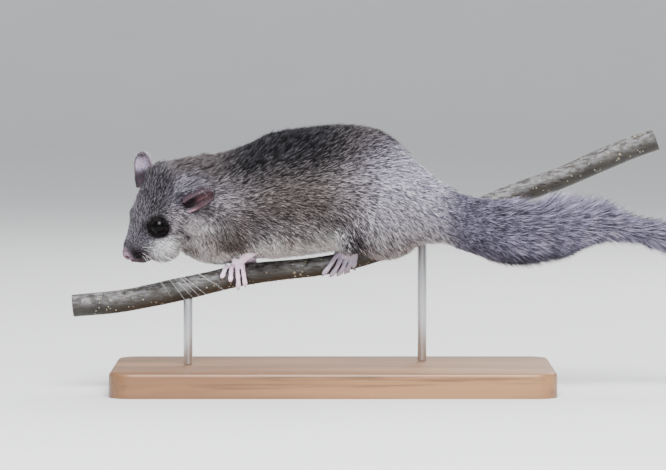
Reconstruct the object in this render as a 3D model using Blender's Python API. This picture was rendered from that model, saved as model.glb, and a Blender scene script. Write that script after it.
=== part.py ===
"""An edible dormouse walking along a cut length of branch, life size, on a plain display stand.

All tables are in millimetres. The animal looks towards -X, its tail runs towards +X, its left side is at -Y,
and Z is up from the floor. The origin is the middle of the stand's underside.
"""

import math
import random

import bmesh
import bpy
from mathutils import Matrix, Vector

for old in list(bpy.data.objects):
    bpy.data.objects.remove(old)

MM = 0.001
GAP = 0.3
X_AXIS = Vector((1, 0, 0))
Y_AXIS = Vector((0, 1, 0))
Z_AXIS = Vector((0, 0, 1))

# Driving sizes of the stand.
BASE_LENGTH = 176.0
BASE_DEPTH = 84.0
BASE_HEIGHT = 10.0
BASE_CORNER = 9.0
ROD_RADIUS = 1.8
ROD_X = (-58.0, 36.0)

# The branch: X, Y, Z of its middle line, and its radius.
BRANCH = (
    (-104.0, -2.0, 33.8, 4.5),
    (-87.0, -2.0, 35.4, 4.5),
    (-70.4, -2.0, 38.4, 4.6),
    (-58.4, -1.6, 41.0, 4.6),
    (-48.0, -1.0, 43.3, 4.4),
    (-37.2, 0.0, 45.8, 4.4),
    (-27.2, 0.2, 47.2, 4.2),
    (-13.2, 0.6, 48.6, 4.0),
    (-2.8, 1.6, 49.8, 3.8),
    (4.8, 3.4, 51.2, 3.8),
    (14.8, 7.4, 53.8, 3.9),
    (26.8, 12.8, 58.0, 4.0),
    (38.8, 17.4, 62.6, 4.1),
    (50.8, 20.8, 67.6, 4.2),
    (69.6, 24.2, 75.8, 4.3),
    (91.6, 25.6, 83.6, 4.5),
    (106.8, 25.6, 90.2, 4.6),
    (120.8, 24.8, 96.0, 4.6),
    (131.0, 24.0, 99.6, 4.5),
)
BRANCH_SIDES = 10
BRANCH_STEP = 4

# The trunk out to the tips of the fur: X, Y of the middle, Z of the back and of the belly, half width.
TRUNK = (
    (-61.0, -1.0, 89.0, 55.6, 12.5),
    (-52.0, -0.5, 92.4, 51.3, 15.5),
    (-43.0, 0.0, 95.0, 50.6, 17.2),
    (-33.0, 0.0, 98.8, 51.8, 18.6),
    (-25.0, 0.0, 102.6, 53.2, 19.6),
    (-13.0, 0.0, 104.6, 54.0, 20.4),
    (0.5, -0.6, 106.0, 56.0, 21.0),
    (10.0, -2.0, 105.6, 57.4, 21.0),
    (18.0, -3.6, 104.0, 57.4, 20.2),
    (26.0, -5.2, 98.8, 57.8, 18.6),
    (34.0, -6.8, 90.6, 58.6, 16.0),
    (42.0, -8.0, 84.0, 59.4, 13.2),
    (50.5, -9.0, 79.2, 58.2, 10.8),
)
WIDEST_LEVEL = 0.45
TRUNK_END_X = 49.0
FLESH_VOXEL = 0.9
FLESH_SMOOTHING = 8
FLESH_TRIANGLES = 2200

# The head, along a line that runs back from the tip of the nose.
NOSE_TIP = Vector((-84.2, -12.4, 55.4))
HEAD_PITCH = math.radians(37)
HEAD_YAW = math.radians(14.8)
HEAD_ROLL = math.radians(17.5)
# Distance behind the nose tip, height above that line, depth below it, half width.
HEAD = (
    (1.2, 0.6, 1.6, 1.8),
    (3.0, 1.8, 4.4, 3.8),
    (6.0, 3.6, 7.6, 5.8),
    (10.0, 6.4, 10.4, 8.4),
    (14.5, 10.4, 12.2, 11.4),
    (19.5, 13.8, 13.4, 14.0),
    (25.0, 16.8, 14.0, 15.4),
    (31.0, 18.6, 14.2, 16.2),
    (37.0, 17.8, 13.6, 16.0),
    (44.0, 13.4, 11.4, 13.0),
)
# Forms that give the face its roundness: middle (back, out, up) and half sizes in the same order.
WHISKER_PAD = ((7.8, 3.9, -2.0), (5.4, 3.7, 3.9))
CHIN = ((9.2, 0.0, -7.4), (6.2, 3.6, 2.8))
CHEEK = ((14.8, 8.0, -4.6), (7.2, 6.4, 7.0))
BROW = ((18.0, 6.4, 7.0), (6.0, 3.8, 3.0))
NOSE_PAD = ((1.4, 0.0, -0.6), (2.4, 2.5, 2.1))
NOSTRIL = ((0.6, 1.5, -0.5), (1.3, 0.62, 0.62))
PHILTRUM = ((0.4, 0.0, -2.2), (2.4, 0.22, 1.9))
SOCKET_GROWTH = 0.3

# The eyes, and the thin rim of lid round each.
EYE_BACK = 17.3
EYE_UP = 3.9
EYE_OUT = 9.5
EYE_RADIUS = 3.7
LID_THICKNESS = 0.62
LID_OPENING = 3.25
EYE_LOOK = (0.42, 0.86, 0.30)

# The mouth line: back, out and up of points of its left half, from the lip's middle to the corner.
MOUTH = ((2.0, 0.0, -5.0), (3.6, 1.9, -5.6), (6.4, 3.8, -6.2), (9.6, 5.4, -6.0), (11.6, 6.6, -5.2))
MOUTH_GAP = 0.4
MOUTH_DEPTH = 1.5
LIP_RADIUS = 1.0


def head_axes():
    """The head's forward, left and up directions."""
    forward = Vector(
        (
            -math.cos(HEAD_PITCH) * math.cos(HEAD_YAW),
            -math.cos(HEAD_PITCH) * math.sin(HEAD_YAW),
            -math.sin(HEAD_PITCH),
        )
    )
    level_left = Vector((math.sin(HEAD_YAW), -math.cos(HEAD_YAW), 0.0))
    level_up = forward.cross(level_left)
    left = level_left * math.cos(HEAD_ROLL) - level_up * math.sin(HEAD_ROLL)
    up = level_up * math.cos(HEAD_ROLL) + level_left * math.sin(HEAD_ROLL)
    return forward, left, up


FORWARD, LEFT, UP = head_axes()


def head_point(back, out, up):
    """A point given as its distance behind the nose tip, out to the animal's left, and up."""
    return NOSE_TIP - FORWARD * back + LEFT * out + UP * up


# Meshes and modifiers


def link(name, mesh):
    obj = bpy.data.objects.new(name, mesh)
    bpy.context.scene.collection.objects.link(obj)
    return obj


def object_from(name, bm):
    """A new object from a bmesh in millimetres, its faces pointing out."""
    bmesh.ops.recalc_face_normals(bm, faces=bm.faces[:])
    bmesh.ops.scale(bm, vec=(MM, MM, MM), verts=bm.verts[:])
    mesh = bpy.data.meshes.new(name)
    bm.to_mesh(mesh)
    bm.free()
    return link(name, mesh)


def smooth_rows(rows, steps):
    """Rows of numbers with a smooth run of new rows between each two, through every given one."""
    found = []
    last = len(rows) - 1
    for index in range(last):
        before = rows[max(index - 1, 0)]
        here = rows[index]
        after = rows[index + 1]
        beyond = rows[min(index + 2, last)]
        for step in range(steps):
            t = step / steps
            row = []
            for p0, p1, p2, p3 in zip(before, here, after, beyond):
                slope_1 = (p2 - p0) / 2
                slope_2 = (p3 - p1) / 2
                a = 2 * t**3 - 3 * t**2 + 1
                b = t**3 - 2 * t**2 + t
                c = -2 * t**3 + 3 * t**2
                d = t**3 - t**2
                row.append(a * p1 + b * slope_1 + c * p2 + d * slope_2)
            found.append(tuple(row))
    found.append(tuple(rows[last]))
    return found


def egg_ring(centre, side, up, half_width, above, below, count):
    """Points round a section that reaches above and below its centre by different heights."""
    points = []
    for index in range(count):
        angle = 2 * math.pi * index / count
        height = math.sin(angle) * (above if math.sin(angle) > 0 else below)
        points.append(centre + side * (half_width * math.cos(angle)) + up * height)
    return points


def loft(name, rings):
    """A closed body through rings of equal count, with a flat cap at each end."""
    bm = bmesh.new()
    made = [[bm.verts.new(point) for point in ring] for ring in rings]
    count = len(made[0])
    for ring, after in zip(made, made[1:]):
        for index in range(count):
            following = (index + 1) % count
            bm.faces.new((ring[index], ring[following], after[following], after[index]))
    bm.faces.new(made[0])
    bm.faces.new(made[-1])
    return object_from(name, bm)


def path_frames(points):
    """For each point of a path: its direction and two cross directions, turning as little as they can."""
    frames = []
    side = None
    for index, point in enumerate(points):
        ahead = points[min(index + 1, len(points) - 1)]
        behind = points[max(index - 1, 0)]
        along = (ahead - behind).normalized()
        if side is None:
            side = along.cross(Z_AXIS if abs(along.z) < 0.9 else X_AXIS)
        side = (side - along * side.dot(along)).normalized()
        frames.append((along, side, side.cross(along)))
    return frames


def tube(name, points, radii, sides, flatten=1.0):
    """A closed tube along points with a radius at each; flatten thins it across its second direction."""
    rings = []
    for point, radius, (_, side, up) in zip(points, radii, path_frames(points)):
        rings.append(egg_ring(point, side, up, radius, radius * flatten, radius * flatten, sides))
    return loft(name, rings)


def ellipsoid(name, centre, sizes, turn=None, segments=20, rings=12):
    """An ellipsoid with these half sizes, turned by a matrix about its centre."""
    bm = bmesh.new()
    bmesh.ops.create_uvsphere(bm, u_segments=segments, v_segments=rings, radius=1.0)
    place = Matrix.Translation(centre) @ (turn or Matrix()) @ Matrix.Diagonal((*sizes, 1.0))
    bmesh.ops.transform(bm, matrix=place, verts=bm.verts[:])
    return object_from(name, bm)


def add_modifier(obj, kind, **settings):
    modifier = obj.modifiers.new(kind.lower(), kind)
    for key, value in settings.items():
        setattr(modifier, key, value)
    return modifier


def apply_modifiers(obj):
    graph = bpy.context.evaluated_depsgraph_get()
    graph.update()
    mesh = bpy.data.meshes.new_from_object(obj.evaluated_get(graph))
    obj.modifiers.clear()
    obj.data = mesh
    return obj


def remove(*objects):
    for obj in objects:
        bpy.data.objects.remove(obj)


def boolean(obj, other, operation, solver="EXACT"):
    """Cuts or joins obj with another object and leaves the other in the scene."""
    add_modifier(obj, "BOOLEAN", object=other, operation=operation, solver=solver)
    return apply_modifiers(obj)


def copy_of(obj, name):
    twin = link(name, obj.data.copy())
    return twin


def keep_largest(obj):
    """Drops loose scraps and sealed hollows, so that one closed surface is left."""
    bm = bmesh.new()
    bm.from_mesh(obj.data)
    bmesh.ops.remove_doubles(bm, verts=bm.verts[:], dist=1e-7)
    left = set(bm.verts)
    islands = []
    while left:
        start = left.pop()
        island = {start}
        front = [start]
        while front:
            for edge in front.pop().link_edges:
                for vertex in edge.verts:
                    if vertex in left:
                        left.discard(vertex)
                        island.add(vertex)
                        front.append(vertex)
        islands.append(island)
    islands.sort(key=len)
    loose = [vertex for island in islands[:-1] for vertex in island]
    bmesh.ops.delete(bm, geom=loose, context="VERTS")
    bm.to_mesh(obj.data)
    bm.free()
    return obj


def face_out(obj):
    bm = bmesh.new()
    bm.from_mesh(obj.data)
    bmesh.ops.recalc_face_normals(bm, faces=bm.faces[:])
    bm.to_mesh(obj.data)
    bm.free()
    return obj


def keep_side(obj, point, direction):
    """Cuts obj flat at a point in millimetres and keeps what lies on the side that direction points to."""
    bm = bmesh.new()
    bm.from_mesh(obj.data)
    cut = bmesh.ops.bisect_plane(
        bm,
        geom=bm.verts[:] + bm.edges[:] + bm.faces[:],
        dist=1e-8,
        plane_co=point * MM,
        plane_no=direction,
        clear_inner=True,
    )
    edges = [item for item in cut["geom_cut"] if isinstance(item, bmesh.types.BMEdge)]
    bmesh.ops.holes_fill(bm, edges=edges, sides=0)
    bmesh.ops.triangulate(bm, faces=bm.faces[:])
    bmesh.ops.recalc_face_normals(bm, faces=bm.faces[:])
    bm.to_mesh(obj.data)
    bm.free()
    return keep_largest(obj)


def join_all(name, pieces, solver="MANIFOLD"):
    """One closed body from overlapping closed pieces, by a Boolean union on a collection."""
    group = bpy.data.collections.new(name + "_pieces")
    bpy.context.scene.collection.children.link(group)
    body = pieces[0]
    for piece in pieces[1:]:
        bpy.context.scene.collection.objects.unlink(piece)
        group.objects.link(piece)
    if len(pieces) > 1:
        add_modifier(
            body, "BOOLEAN", operand_type="COLLECTION", collection=group, operation="UNION", solver=solver
        )
        apply_modifiers(body)
    remove(*pieces[1:])
    bpy.data.collections.remove(group)
    body.name = name
    return keep_largest(body)


def merge(name, pieces):
    """The pieces' meshes in one object, still overlapping, ready for a remesh."""
    bm = bmesh.new()
    for piece in pieces:
        bm.from_mesh(piece.data)
    mesh = bpy.data.meshes.new(name)
    bm.to_mesh(mesh)
    bm.free()
    remove(*pieces)
    return link(name, mesh)


def fuse_soft(obj, voxel, passes, triangles):
    """Remeshes overlapping forms as one, smooths where they meet, and thins it to about these triangles."""
    add_modifier(obj, "REMESH", mode="VOXEL", voxel_size=voxel * MM)
    add_modifier(obj, "SMOOTH", factor=0.5, iterations=passes)
    apply_modifiers(obj)
    count = sum(len(face.vertices) - 2 for face in obj.data.polygons)
    add_modifier(obj, "DECIMATE", ratio=min(1.0, triangles / count), use_collapse_triangulate=True)
    apply_modifiers(obj)
    return keep_largest(obj)


# Materials


def material(name, colour, roughness, metallic=0.0):
    made = bpy.data.materials.new(name)
    made.use_nodes = True
    shader = made.node_tree.nodes["Principled BSDF"]
    shader.inputs["Base Color"].default_value = (*colour, 1.0)
    shader.inputs["Roughness"].default_value = roughness
    shader.inputs["Metallic"].default_value = metallic
    return made


GREY_COAT = material("grey_coat", (0.23, 0.215, 0.21), 0.85)
TAIL_COAT = material("tail_coat", (0.27, 0.26, 0.28), 0.85)
EAR_SKIN = material("ear_skin", (0.42, 0.27, 0.25), 0.6)
NOSE_SKIN = material("nose_skin", (0.45, 0.30, 0.31), 0.45)
FOOT_SKIN = material("foot_skin", (0.78, 0.62, 0.62), 0.55)
EYE_GLOSS = material("eye_gloss", (0.006, 0.006, 0.008), 0.05)
BARK = material("bark", (0.17, 0.14, 0.12), 0.75)
STAND_WOOD = material("stand_wood", (0.30, 0.20, 0.12), 0.45)
ROD_STEEL = material("rod_steel", (0.55, 0.55, 0.56), 0.3, 1.0)


def finish_node(obj, name, surface, smooth=True):
    """Gives a finished solid its node name and material."""
    obj.name = name
    obj.data.name = name
    obj.data.materials.clear()
    obj.data.materials.append(surface)
    if smooth:
        obj.data.shade_smooth()
        obj.data.set_sharp_from_angle(angle=math.radians(40))
    return obj


# The branch and its frame

BRANCH_LINE = smooth_rows(BRANCH, 4)


def branch_at(x):
    """The branch's middle, radius, direction, and its near and upper cross directions at this X."""
    for row, after in zip(BRANCH_LINE, BRANCH_LINE[1:]):
        if row[0] <= x <= after[0]:
            t = (x - row[0]) / (after[0] - row[0])
            centre = Vector(row[:3]).lerp(Vector(after[:3]), t)
            radius = row[3] + (after[3] - row[3]) * t
            along = (Vector(after[:3]) - Vector(row[:3])).normalized()
            near = (-Y_AXIS + along * along.y).normalized()
            return centre, radius, along, near, near.cross(along)
    raise ValueError(x)


def on_branch(x, degrees, lift):
    """A point over the bark: degrees is 0 on the near side, 90 on top and 180 on the far side."""
    centre, radius, _, near, up = branch_at(x)
    angle = math.radians(degrees)
    return centre + (near * math.cos(angle) + up * math.sin(angle)) * (radius + lift)


def make_branch(name, grow=0.0, rows=BRANCH_LINE):
    points = [Vector(row[:3]) for row in rows[::BRANCH_STEP]]
    radii = [row[3] + grow for row in rows[::BRANCH_STEP]]
    return tube(name, points, radii, BRANCH_SIDES)


finish_node(make_branch("perch_branch"), "perch_branch", BARK)


# The stand: a flat base and two short rods that end just under the bark


def make_base():
    bm = bmesh.new()
    bmesh.ops.create_cube(bm, size=1.0)
    bmesh.ops.scale(bm, vec=(BASE_LENGTH, BASE_DEPTH, BASE_HEIGHT), verts=bm.verts[:])
    bmesh.ops.translate(bm, vec=(0, 0, BASE_HEIGHT / 2), verts=bm.verts[:])
    upright = [edge for edge in bm.edges if abs(edge.verts[0].co.z - edge.verts[1].co.z) > 1]
    bmesh.ops.bevel(
        bm, geom=upright, offset=BASE_CORNER, segments=5, profile=0.5, affect="EDGES", material=-1
    )
    rim = [edge for edge in bm.edges if all(v.co.z > BASE_HEIGHT - 0.01 for v in edge.verts)]
    bmesh.ops.bevel(bm, geom=rim, offset=1.6, segments=2, profile=0.5, affect="EDGES", material=-1)
    return object_from("stand_base", bm)


def make_rod(name, x):
    centre, _, _, _, _ = branch_at(x)
    foot = Vector((centre.x, centre.y, BASE_HEIGHT + GAP))
    points = [foot, centre]
    rod = tube(name, points, [ROD_RADIUS, ROD_RADIUS], 16)
    cutter = make_branch("rod_cutter", GAP)
    boolean(rod, cutter, "DIFFERENCE")
    remove(cutter)
    return keep_largest(rod)


finish_node(make_base(), "stand_base", STAND_WOOD)
for rod_name, rod_x in zip(("stand_rod_front", "stand_rod_back"), ROD_X):
    finish_node(make_rod(rod_name, rod_x), rod_name, ROD_STEEL)


# The flesh and short fur of the trunk, head and limbs, first as one body

# Each limb: points from the body outwards with the radius at each.
FORE_LEFT = (
    (-42.0, -11.5, 71.0, 8.4),
    (-36.0, -13.5, 64.5, 7.6),
    (-23.0, -12.0, 59.6, 5.4),
    (-28.0, -8.0, 56.6, 3.9),
    (-34.0, -4.4, 54.4, 2.7),
)
FORE_RIGHT = (
    (-41.0, 11.5, 71.0, 8.4),
    (-34.0, 13.0, 64.5, 7.4),
    (-20.5, 11.0, 60.4, 5.2),
    (-25.0, 7.6, 58.0, 3.9),
    (-30.0, 4.4, 56.0, 2.7),
)
HIND_LEFT = (
    (14.0, -14.0, 65.0, 8.0),
    (6.5, -12.5, 61.0, 6.6),
    (8.6, -8.6, 59.6, 4.6),
    (10.8, -5.8, 58.4, 3.2),
)
HIND_RIGHT = (
    (16.0, 9.0, 73.0, 8.0),
    (9.0, 13.0, 67.5, 6.2),
    (11.0, 12.2, 64.6, 4.6),
    (13.2, 10.6, 62.4, 3.2),
)
# Haunches: middle and half sizes.
HAUNCH_LEFT = ((19.8, -11.5, 70.8), (18.0, 12.8, 18.0))
HAUNCH_RIGHT = ((24.0, 4.0, 78.0), (17.5, 11.6, 14.0))


def make_trunk():
    rings = []
    for x, y, top, bottom, half_width in smooth_rows(TRUNK, 3):
        level = bottom + WIDEST_LEVEL * (top - bottom)
        centre = Vector((x, y, level))
        rings.append(egg_ring(centre, Y_AXIS, Z_AXIS, half_width, top - level, level - bottom, 32))
    return loft("trunk", rings)


def make_skull():
    rings = []
    for back, above, below, half_width in smooth_rows(HEAD, 3):
        level = (above - below) / 2
        half_height = (above + below) / 2
        centre = head_point(back, 0.0, level)
        rings.append(egg_ring(centre, LEFT, UP, half_width, half_height, half_height, 32))
    return loft("skull", rings)


def make_limb(name, rows):
    points = []
    radii = []
    for *point, radius in smooth_rows(rows, 4):
        points.append(Vector(point))
        radii.append(radius)
    return tube(name, points, radii, 16)


def head_turn():
    """The matrix that turns back, left and up into the head's own directions."""
    return Matrix((-FORWARD, LEFT, UP)).transposed().to_4x4()


def head_form(name, form, side=1, grow=0.0, segments=20, rings=12):
    """An ellipsoid of the head, given as its middle and half sizes; side is -1 for its right twin."""
    (back, out, up), sizes = form
    return ellipsoid(
        name,
        head_point(back, out * side, up),
        [size + grow for size in sizes],
        head_turn(),
        segments,
        rings,
    )


def make_flesh():
    """Trunk, head and limbs as one smooth closed body."""
    pieces = [make_trunk(), make_skull(), head_form("chin", CHIN)]
    for side in (1, -1):
        for form in (WHISKER_PAD, CHEEK, BROW):
            pieces.append(head_form("face", form, side))
    for rows in (FORE_LEFT, FORE_RIGHT, HIND_LEFT, HIND_RIGHT):
        pieces.append(make_limb("limb", rows))
        pieces.append(ellipsoid("joint", Vector(rows[0][:3]), [rows[0][3]] * 3))
    for centre, sizes in (HAUNCH_LEFT, HAUNCH_RIGHT):
        pieces.append(ellipsoid("haunch", Vector(centre), sizes))
    body = fuse_soft(merge("flesh", pieces), FLESH_VOXEL, FLESH_SMOOTHING, FLESH_TRIANGLES)
    cutter = make_branch("branch_cutter", GAP)
    boolean(body, cutter, "DIFFERENCE")
    remove(cutter)
    return keep_largest(body)


flesh = make_flesh()

# The flesh is parted into head, neck, two lengths of torso, and the legs

# Each cut: a point, and the direction towards the head.
HEAD_CUT = (Vector((-57.0, -10.0, 75.0)), Vector((-0.935, -0.30, -0.18)).normalized())
NECK_CUT = (Vector((-46.0, 0.0, 75.0)), Vector((-0.985, -0.08, 0.15)).normalized())
TORSO_CUT = (Vector((-7.0, 0.0, 80.0)), Vector((-1.0, 0.0, 0.08)).normalized())
RUMP_CUT = (Vector((TRUNK_END_X, 0.0, 68.0)), Vector((-1.0, 0.12, 0.0)).normalized())


def slice_between(obj, name, front, back):
    """A copy of obj from the front cut to the back cut; either may be None."""
    piece = copy_of(obj, name)
    if front:
        keep_side(piece, front[0] - front[1] * (GAP / 2), -front[1])
    if back:
        keep_side(piece, back[0] + back[1] * (GAP / 2), back[1])
    return piece


# Each leg's region: its limb, how far its first joint reaches round it, and a limit next to the midline.
LEG_MARGIN = 1.2
REGION_VOXEL = 1.1
REGION_SMOOTHING = 3
REGION_TRIANGLES = 130
LEGS = {
    "foreleg_left": (FORE_LEFT, None, (Vector((0, -2.5, 0)), -Y_AXIS)),
    "foreleg_right": (FORE_RIGHT, None, (Vector((0, 2.5, 0)), Y_AXIS)),
    "hindleg_left": (HIND_LEFT, HAUNCH_LEFT, (Vector((0, -7.5, 0)), -Y_AXIS)),
    "hindleg_right": (HIND_RIGHT, HAUNCH_RIGHT, (Vector((0, -1.5, 0)), Y_AXIS)),
}


def leg_region(rows, haunch):
    """The space that belongs to a leg, a little wider than the leg itself."""
    wide = [(*row[:3], row[3] + LEG_MARGIN) for row in rows]
    last = Vector(rows[-1][:3])
    along = (last - Vector(rows[-2][:3])).normalized()
    wide.append((*(last + along * 6), rows[-1][3] + LEG_MARGIN))
    pieces = [make_limb("leg_region", wide)]
    pieces.append(ellipsoid("joint_region", Vector(rows[0][:3]), [rows[0][3] + LEG_MARGIN] * 3))
    if haunch:
        centre, sizes = haunch
        pieces.append(ellipsoid("haunch_region", Vector(centre), [size + LEG_MARGIN for size in sizes]))
    return fuse_soft(merge("leg_region", pieces), REGION_VOXEL, REGION_SMOOTHING, REGION_TRIANGLES)


def swollen(obj, amount):
    """A copy of obj whose surface stands this much further out."""
    twin = copy_of(obj, obj.name + "_swollen")
    add_modifier(twin, "DISPLACE", strength=amount * MM, mid_level=0.0)
    return apply_modifiers(twin)


legs = {}
torso = copy_of(flesh, "torso")
for leg_name, (rows, haunch, limit) in LEGS.items():
    region = leg_region(rows, haunch)
    wider = swollen(region, GAP)
    point, direction = limit
    keep_side(region, point, direction)
    keep_side(wider, point - direction * GAP, direction)
    leg = copy_of(flesh, leg_name)
    boolean(leg, region, "INTERSECT", "MANIFOLD")
    legs[leg_name] = keep_largest(leg)
    boolean(torso, wider, "DIFFERENCE", "MANIFOLD")
    remove(region, wider)
keep_largest(torso)

head = slice_between(flesh, "head", None, HEAD_CUT)
neck = slice_between(torso, "neck", HEAD_CUT, NECK_CUT)
finish_node(neck, "neck", GREY_COAT)
torso_front = slice_between(torso, "torso_front", NECK_CUT, TORSO_CUT)
torso_hind = slice_between(torso, "torso_hind", TORSO_CUT, RUMP_CUT)
finish_node(torso_front, "torso_front", GREY_COAT)
finish_node(torso_hind, "torso_hind", GREY_COAT)
remove(flesh, torso)

# The feet: a palm or sole over the bark, digits that bend round it, and a small claw on each


def digit_points(root, tip, lift):
    """Points over the bark from root to tip, each given as X and an angle round the branch."""
    points = []
    for step in range(DIGIT_STEPS + 1):
        t = step / DIGIT_STEPS
        x = root[0] + (tip[0] - root[0]) * t
        degrees = root[1] + (tip[1] - root[1]) * t
        arch = KNUCKLE_ARCH * math.sin(math.pi * t) * (1 - t)
        points.append(on_branch(x, degrees, lift + arch))
    return points


DIGIT_STEPS = 5
DIGIT_SIDES = 5
KNUCKLE_ARCH = 0.9
DIGIT_LIFT = 0.5
CLAW_LENGTH_DEGREES = 26.0
CLAW_RADII = (0.42, 0.36, 0.1)
CLAW_ARCH = 0.25
CLAW_DROP = 0.35
CLAW_SPREAD = 0.08
CLAW_SUNK = 0.15
FOOT_ROOM = 0.3
# Where along a digit its radius is what share of its full radius, out to the pad and the blunt end.
DIGIT_SHAPE = (1.0, 0.95, 0.88, 0.9, 1.02, 0.66)


def make_digit(root, tip, radius):
    """A toe or finger with a pad near its end, and its claw bent down to the bark."""
    points = digit_points(root, tip, radius + DIGIT_LIFT)
    toe = tube("toe", points, [radius * share for share in DIGIT_SHAPE], DIGIT_SIDES)
    turn = math.copysign(CLAW_LENGTH_DEGREES, tip[1] - root[1])
    claw_points = []
    for step in range(3):
        t = step / 2
        lift = radius + DIGIT_LIFT + CLAW_ARCH * math.sin(math.pi * t) - CLAW_DROP * t
        x = tip[0] + (tip[0] - root[0]) * CLAW_SPREAD * t
        claw_points.append(on_branch(x, tip[1] + turn * (t - CLAW_SUNK), lift))
    claw = tube("claw", claw_points, CLAW_RADII, 4)
    return [toe, claw]


def trim_leg(leg, cut, down, radius):
    """Ends a leg flat at its wrist or ankle; the space beyond it belongs to the foot."""
    width = 2 * radius + 2.4
    bm = bmesh.new()
    bmesh.ops.create_cube(bm, size=1.0)
    turn = down.to_track_quat("Z", "Y").to_matrix().to_4x4()
    place = Matrix.Translation(cut + down * 4.0) @ turn @ Matrix.Diagonal((width, width, 8.0, 1.0))
    bmesh.ops.transform(bm, matrix=place, verts=bm.verts[:])
    beyond = object_from("beyond_ankle", bm)
    boolean(leg, beyond, "DIFFERENCE", "MANIFOLD")
    remove(beyond)
    return finish_node(keep_largest(leg), leg.name, GREY_COAT)


def make_foot(name, ankle, sole, digits, digit_radius, leg, trunk):
    """A foot from the flat end of its leg, over its sole's points, to its digits, clear of the belly."""
    cut, down, radius, foot_centre = ankle
    cut = Vector(cut)
    down = Vector(down).normalized()
    trim_leg(leg, cut, down, radius)
    start = cut + down * GAP
    stub = tube(name, [start, start + down * 0.7, Vector(foot_centre)], [radius, radius, radius * 0.9], 8)
    smooth = smooth_rows(sole, 2)
    flat_sole = tube("sole", [Vector(row[:3]) for row in smooth], [row[3] for row in smooth], 8, 0.72)
    pieces = [stub, flat_sole]
    palm = join_all("palm", [copy_of(stub, "palm"), copy_of(flat_sole, "palm")])
    room = swollen(palm, GAP + FOOT_ROOM)
    for root, tip in digits:
        pieces.extend(make_digit(root, tip, digit_radius))
    foot = join_all(name, pieces)
    bark = make_branch("bark_cutter", GAP)
    boolean(foot, bark, "DIFFERENCE", "MANIFOLD")
    keep_largest(foot)
    boolean(trunk, room, "DIFFERENCE", "MANIFOLD")
    remove(bark, palm, room)
    keep_largest(trunk)
    return finish_node(foot, name, FOOT_SKIN)


# Each digit: X and angle at its root, then at its tip. Ankles start inside the leg.
FORE_DIGITS_LEFT = (
    ((-42.0, 62.0), (-44.8, 22.0)),
    ((-40.8, 64.0), (-41.6, -8.0)),
    ((-38.7, 62.0), (-38.3, -58.0)),
    ((-36.4, 58.0), (-35.0, -46.0)),
)
FORE_DIGITS_RIGHT = (
    ((-37.0, 112.0), (-38.6, 168.0)),
    ((-35.2, 114.0), (-35.6, 206.0)),
    ((-33.2, 114.0), (-32.6, 222.0)),
    ((-31.2, 116.0), (-29.6, 204.0)),
)
HIND_DIGITS_LEFT = (
    ((1.4, 78.0), (-3.6, -38.0)),
    ((3.2, 74.0), (-0.8, -62.0)),
    ((5.2, 70.0), (1.8, -64.0)),
    ((7.2, 64.0), (4.6, -58.0)),
    ((9.2, 58.0), (7.2, -30.0)),
)
HIND_DIGITS_RIGHT = (
    ((4.2, 104.0), (0.8, 214.0)),
    ((6.0, 108.0), (3.4, 232.0)),
    ((8.0, 112.0), (6.0, 236.0)),
    ((10.0, 116.0), (8.8, 226.0)),
    ((11.8, 120.0), (11.2, 200.0)),
)
# Each foot: its leg; the ankle's cut point, its direction down, radius and the middle of the foot below
# it; the sole's points with half widths; its digits and their radius.
FEET = (
    (
        "forefoot_left",
        "foreleg_left",
        ((-33.0, -4.9, 54.7), (-0.80, 0.45, -0.40), 2.3, (-36.0, -3.2, 52.8)),
        (
            (-33.9, -4.2, 53.6, 1.9),
            (-36.6, -2.8, 52.2, 2.3),
            (-39.6, -2.2, 51.0, 2.4),
            (-41.2, -2.4, 50.4, 1.2),
        ),
        FORE_DIGITS_LEFT,
        0.88,
    ),
    (
        "forefoot_right",
        "foreleg_right",
        ((-29.2, 4.9, 56.2), (-0.80, -0.40, -0.45), 2.3, (-32.0, 3.4, 54.2)),
        (
            (-30.2, 4.2, 55.0, 1.9),
            (-32.4, 3.4, 53.6, 2.3),
            (-34.8, 3.0, 52.2, 2.4),
            (-36.6, 3.0, 51.2, 1.2),
        ),
        FORE_DIGITS_RIGHT,
        0.88,
    ),
    (
        "hindfoot_left",
        "hindleg_left",
        ((10.8, -5.4, 58.0), (0.0, 0.40, -0.92), 2.5, (10.6, -4.2, 55.6)),
        (
            (13.0, -5.0, 55.4, 1.3),
            (10.2, -3.0, 55.6, 2.3),
            (6.6, -0.6, 56.2, 2.8),
            (3.8, 0.2, 55.8, 2.4),
            (2.2, 0.4, 55.2, 1.2),
        ),
        HIND_DIGITS_LEFT,
        1.0,
    ),
    (
        "hindfoot_right",
        "hindleg_right",
        ((13.2, 10.4, 61.9), (-0.10, -0.36, -0.92), 2.5, (12.8, 9.4, 59.4)),
        (
            (15.2, 9.8, 59.2, 1.3),
            (12.4, 8.8, 59.0, 2.3),
            (9.0, 6.8, 58.4, 2.8),
            (6.4, 5.6, 57.4, 2.4),
            (5.0, 5.0, 56.8, 1.2),
        ),
        HIND_DIGITS_RIGHT,
        1.0,
    ),
)
for foot_name, leg_name, ankle, sole, digits, digit_radius in FEET:
    trunk = torso_front if foot_name.startswith("fore") else torso_hind
    make_foot(foot_name, ankle, sole, digits, digit_radius, legs[leg_name], trunk)

# The face: lids, eyes, nose pad with nostrils, and the line of the mouth


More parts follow.
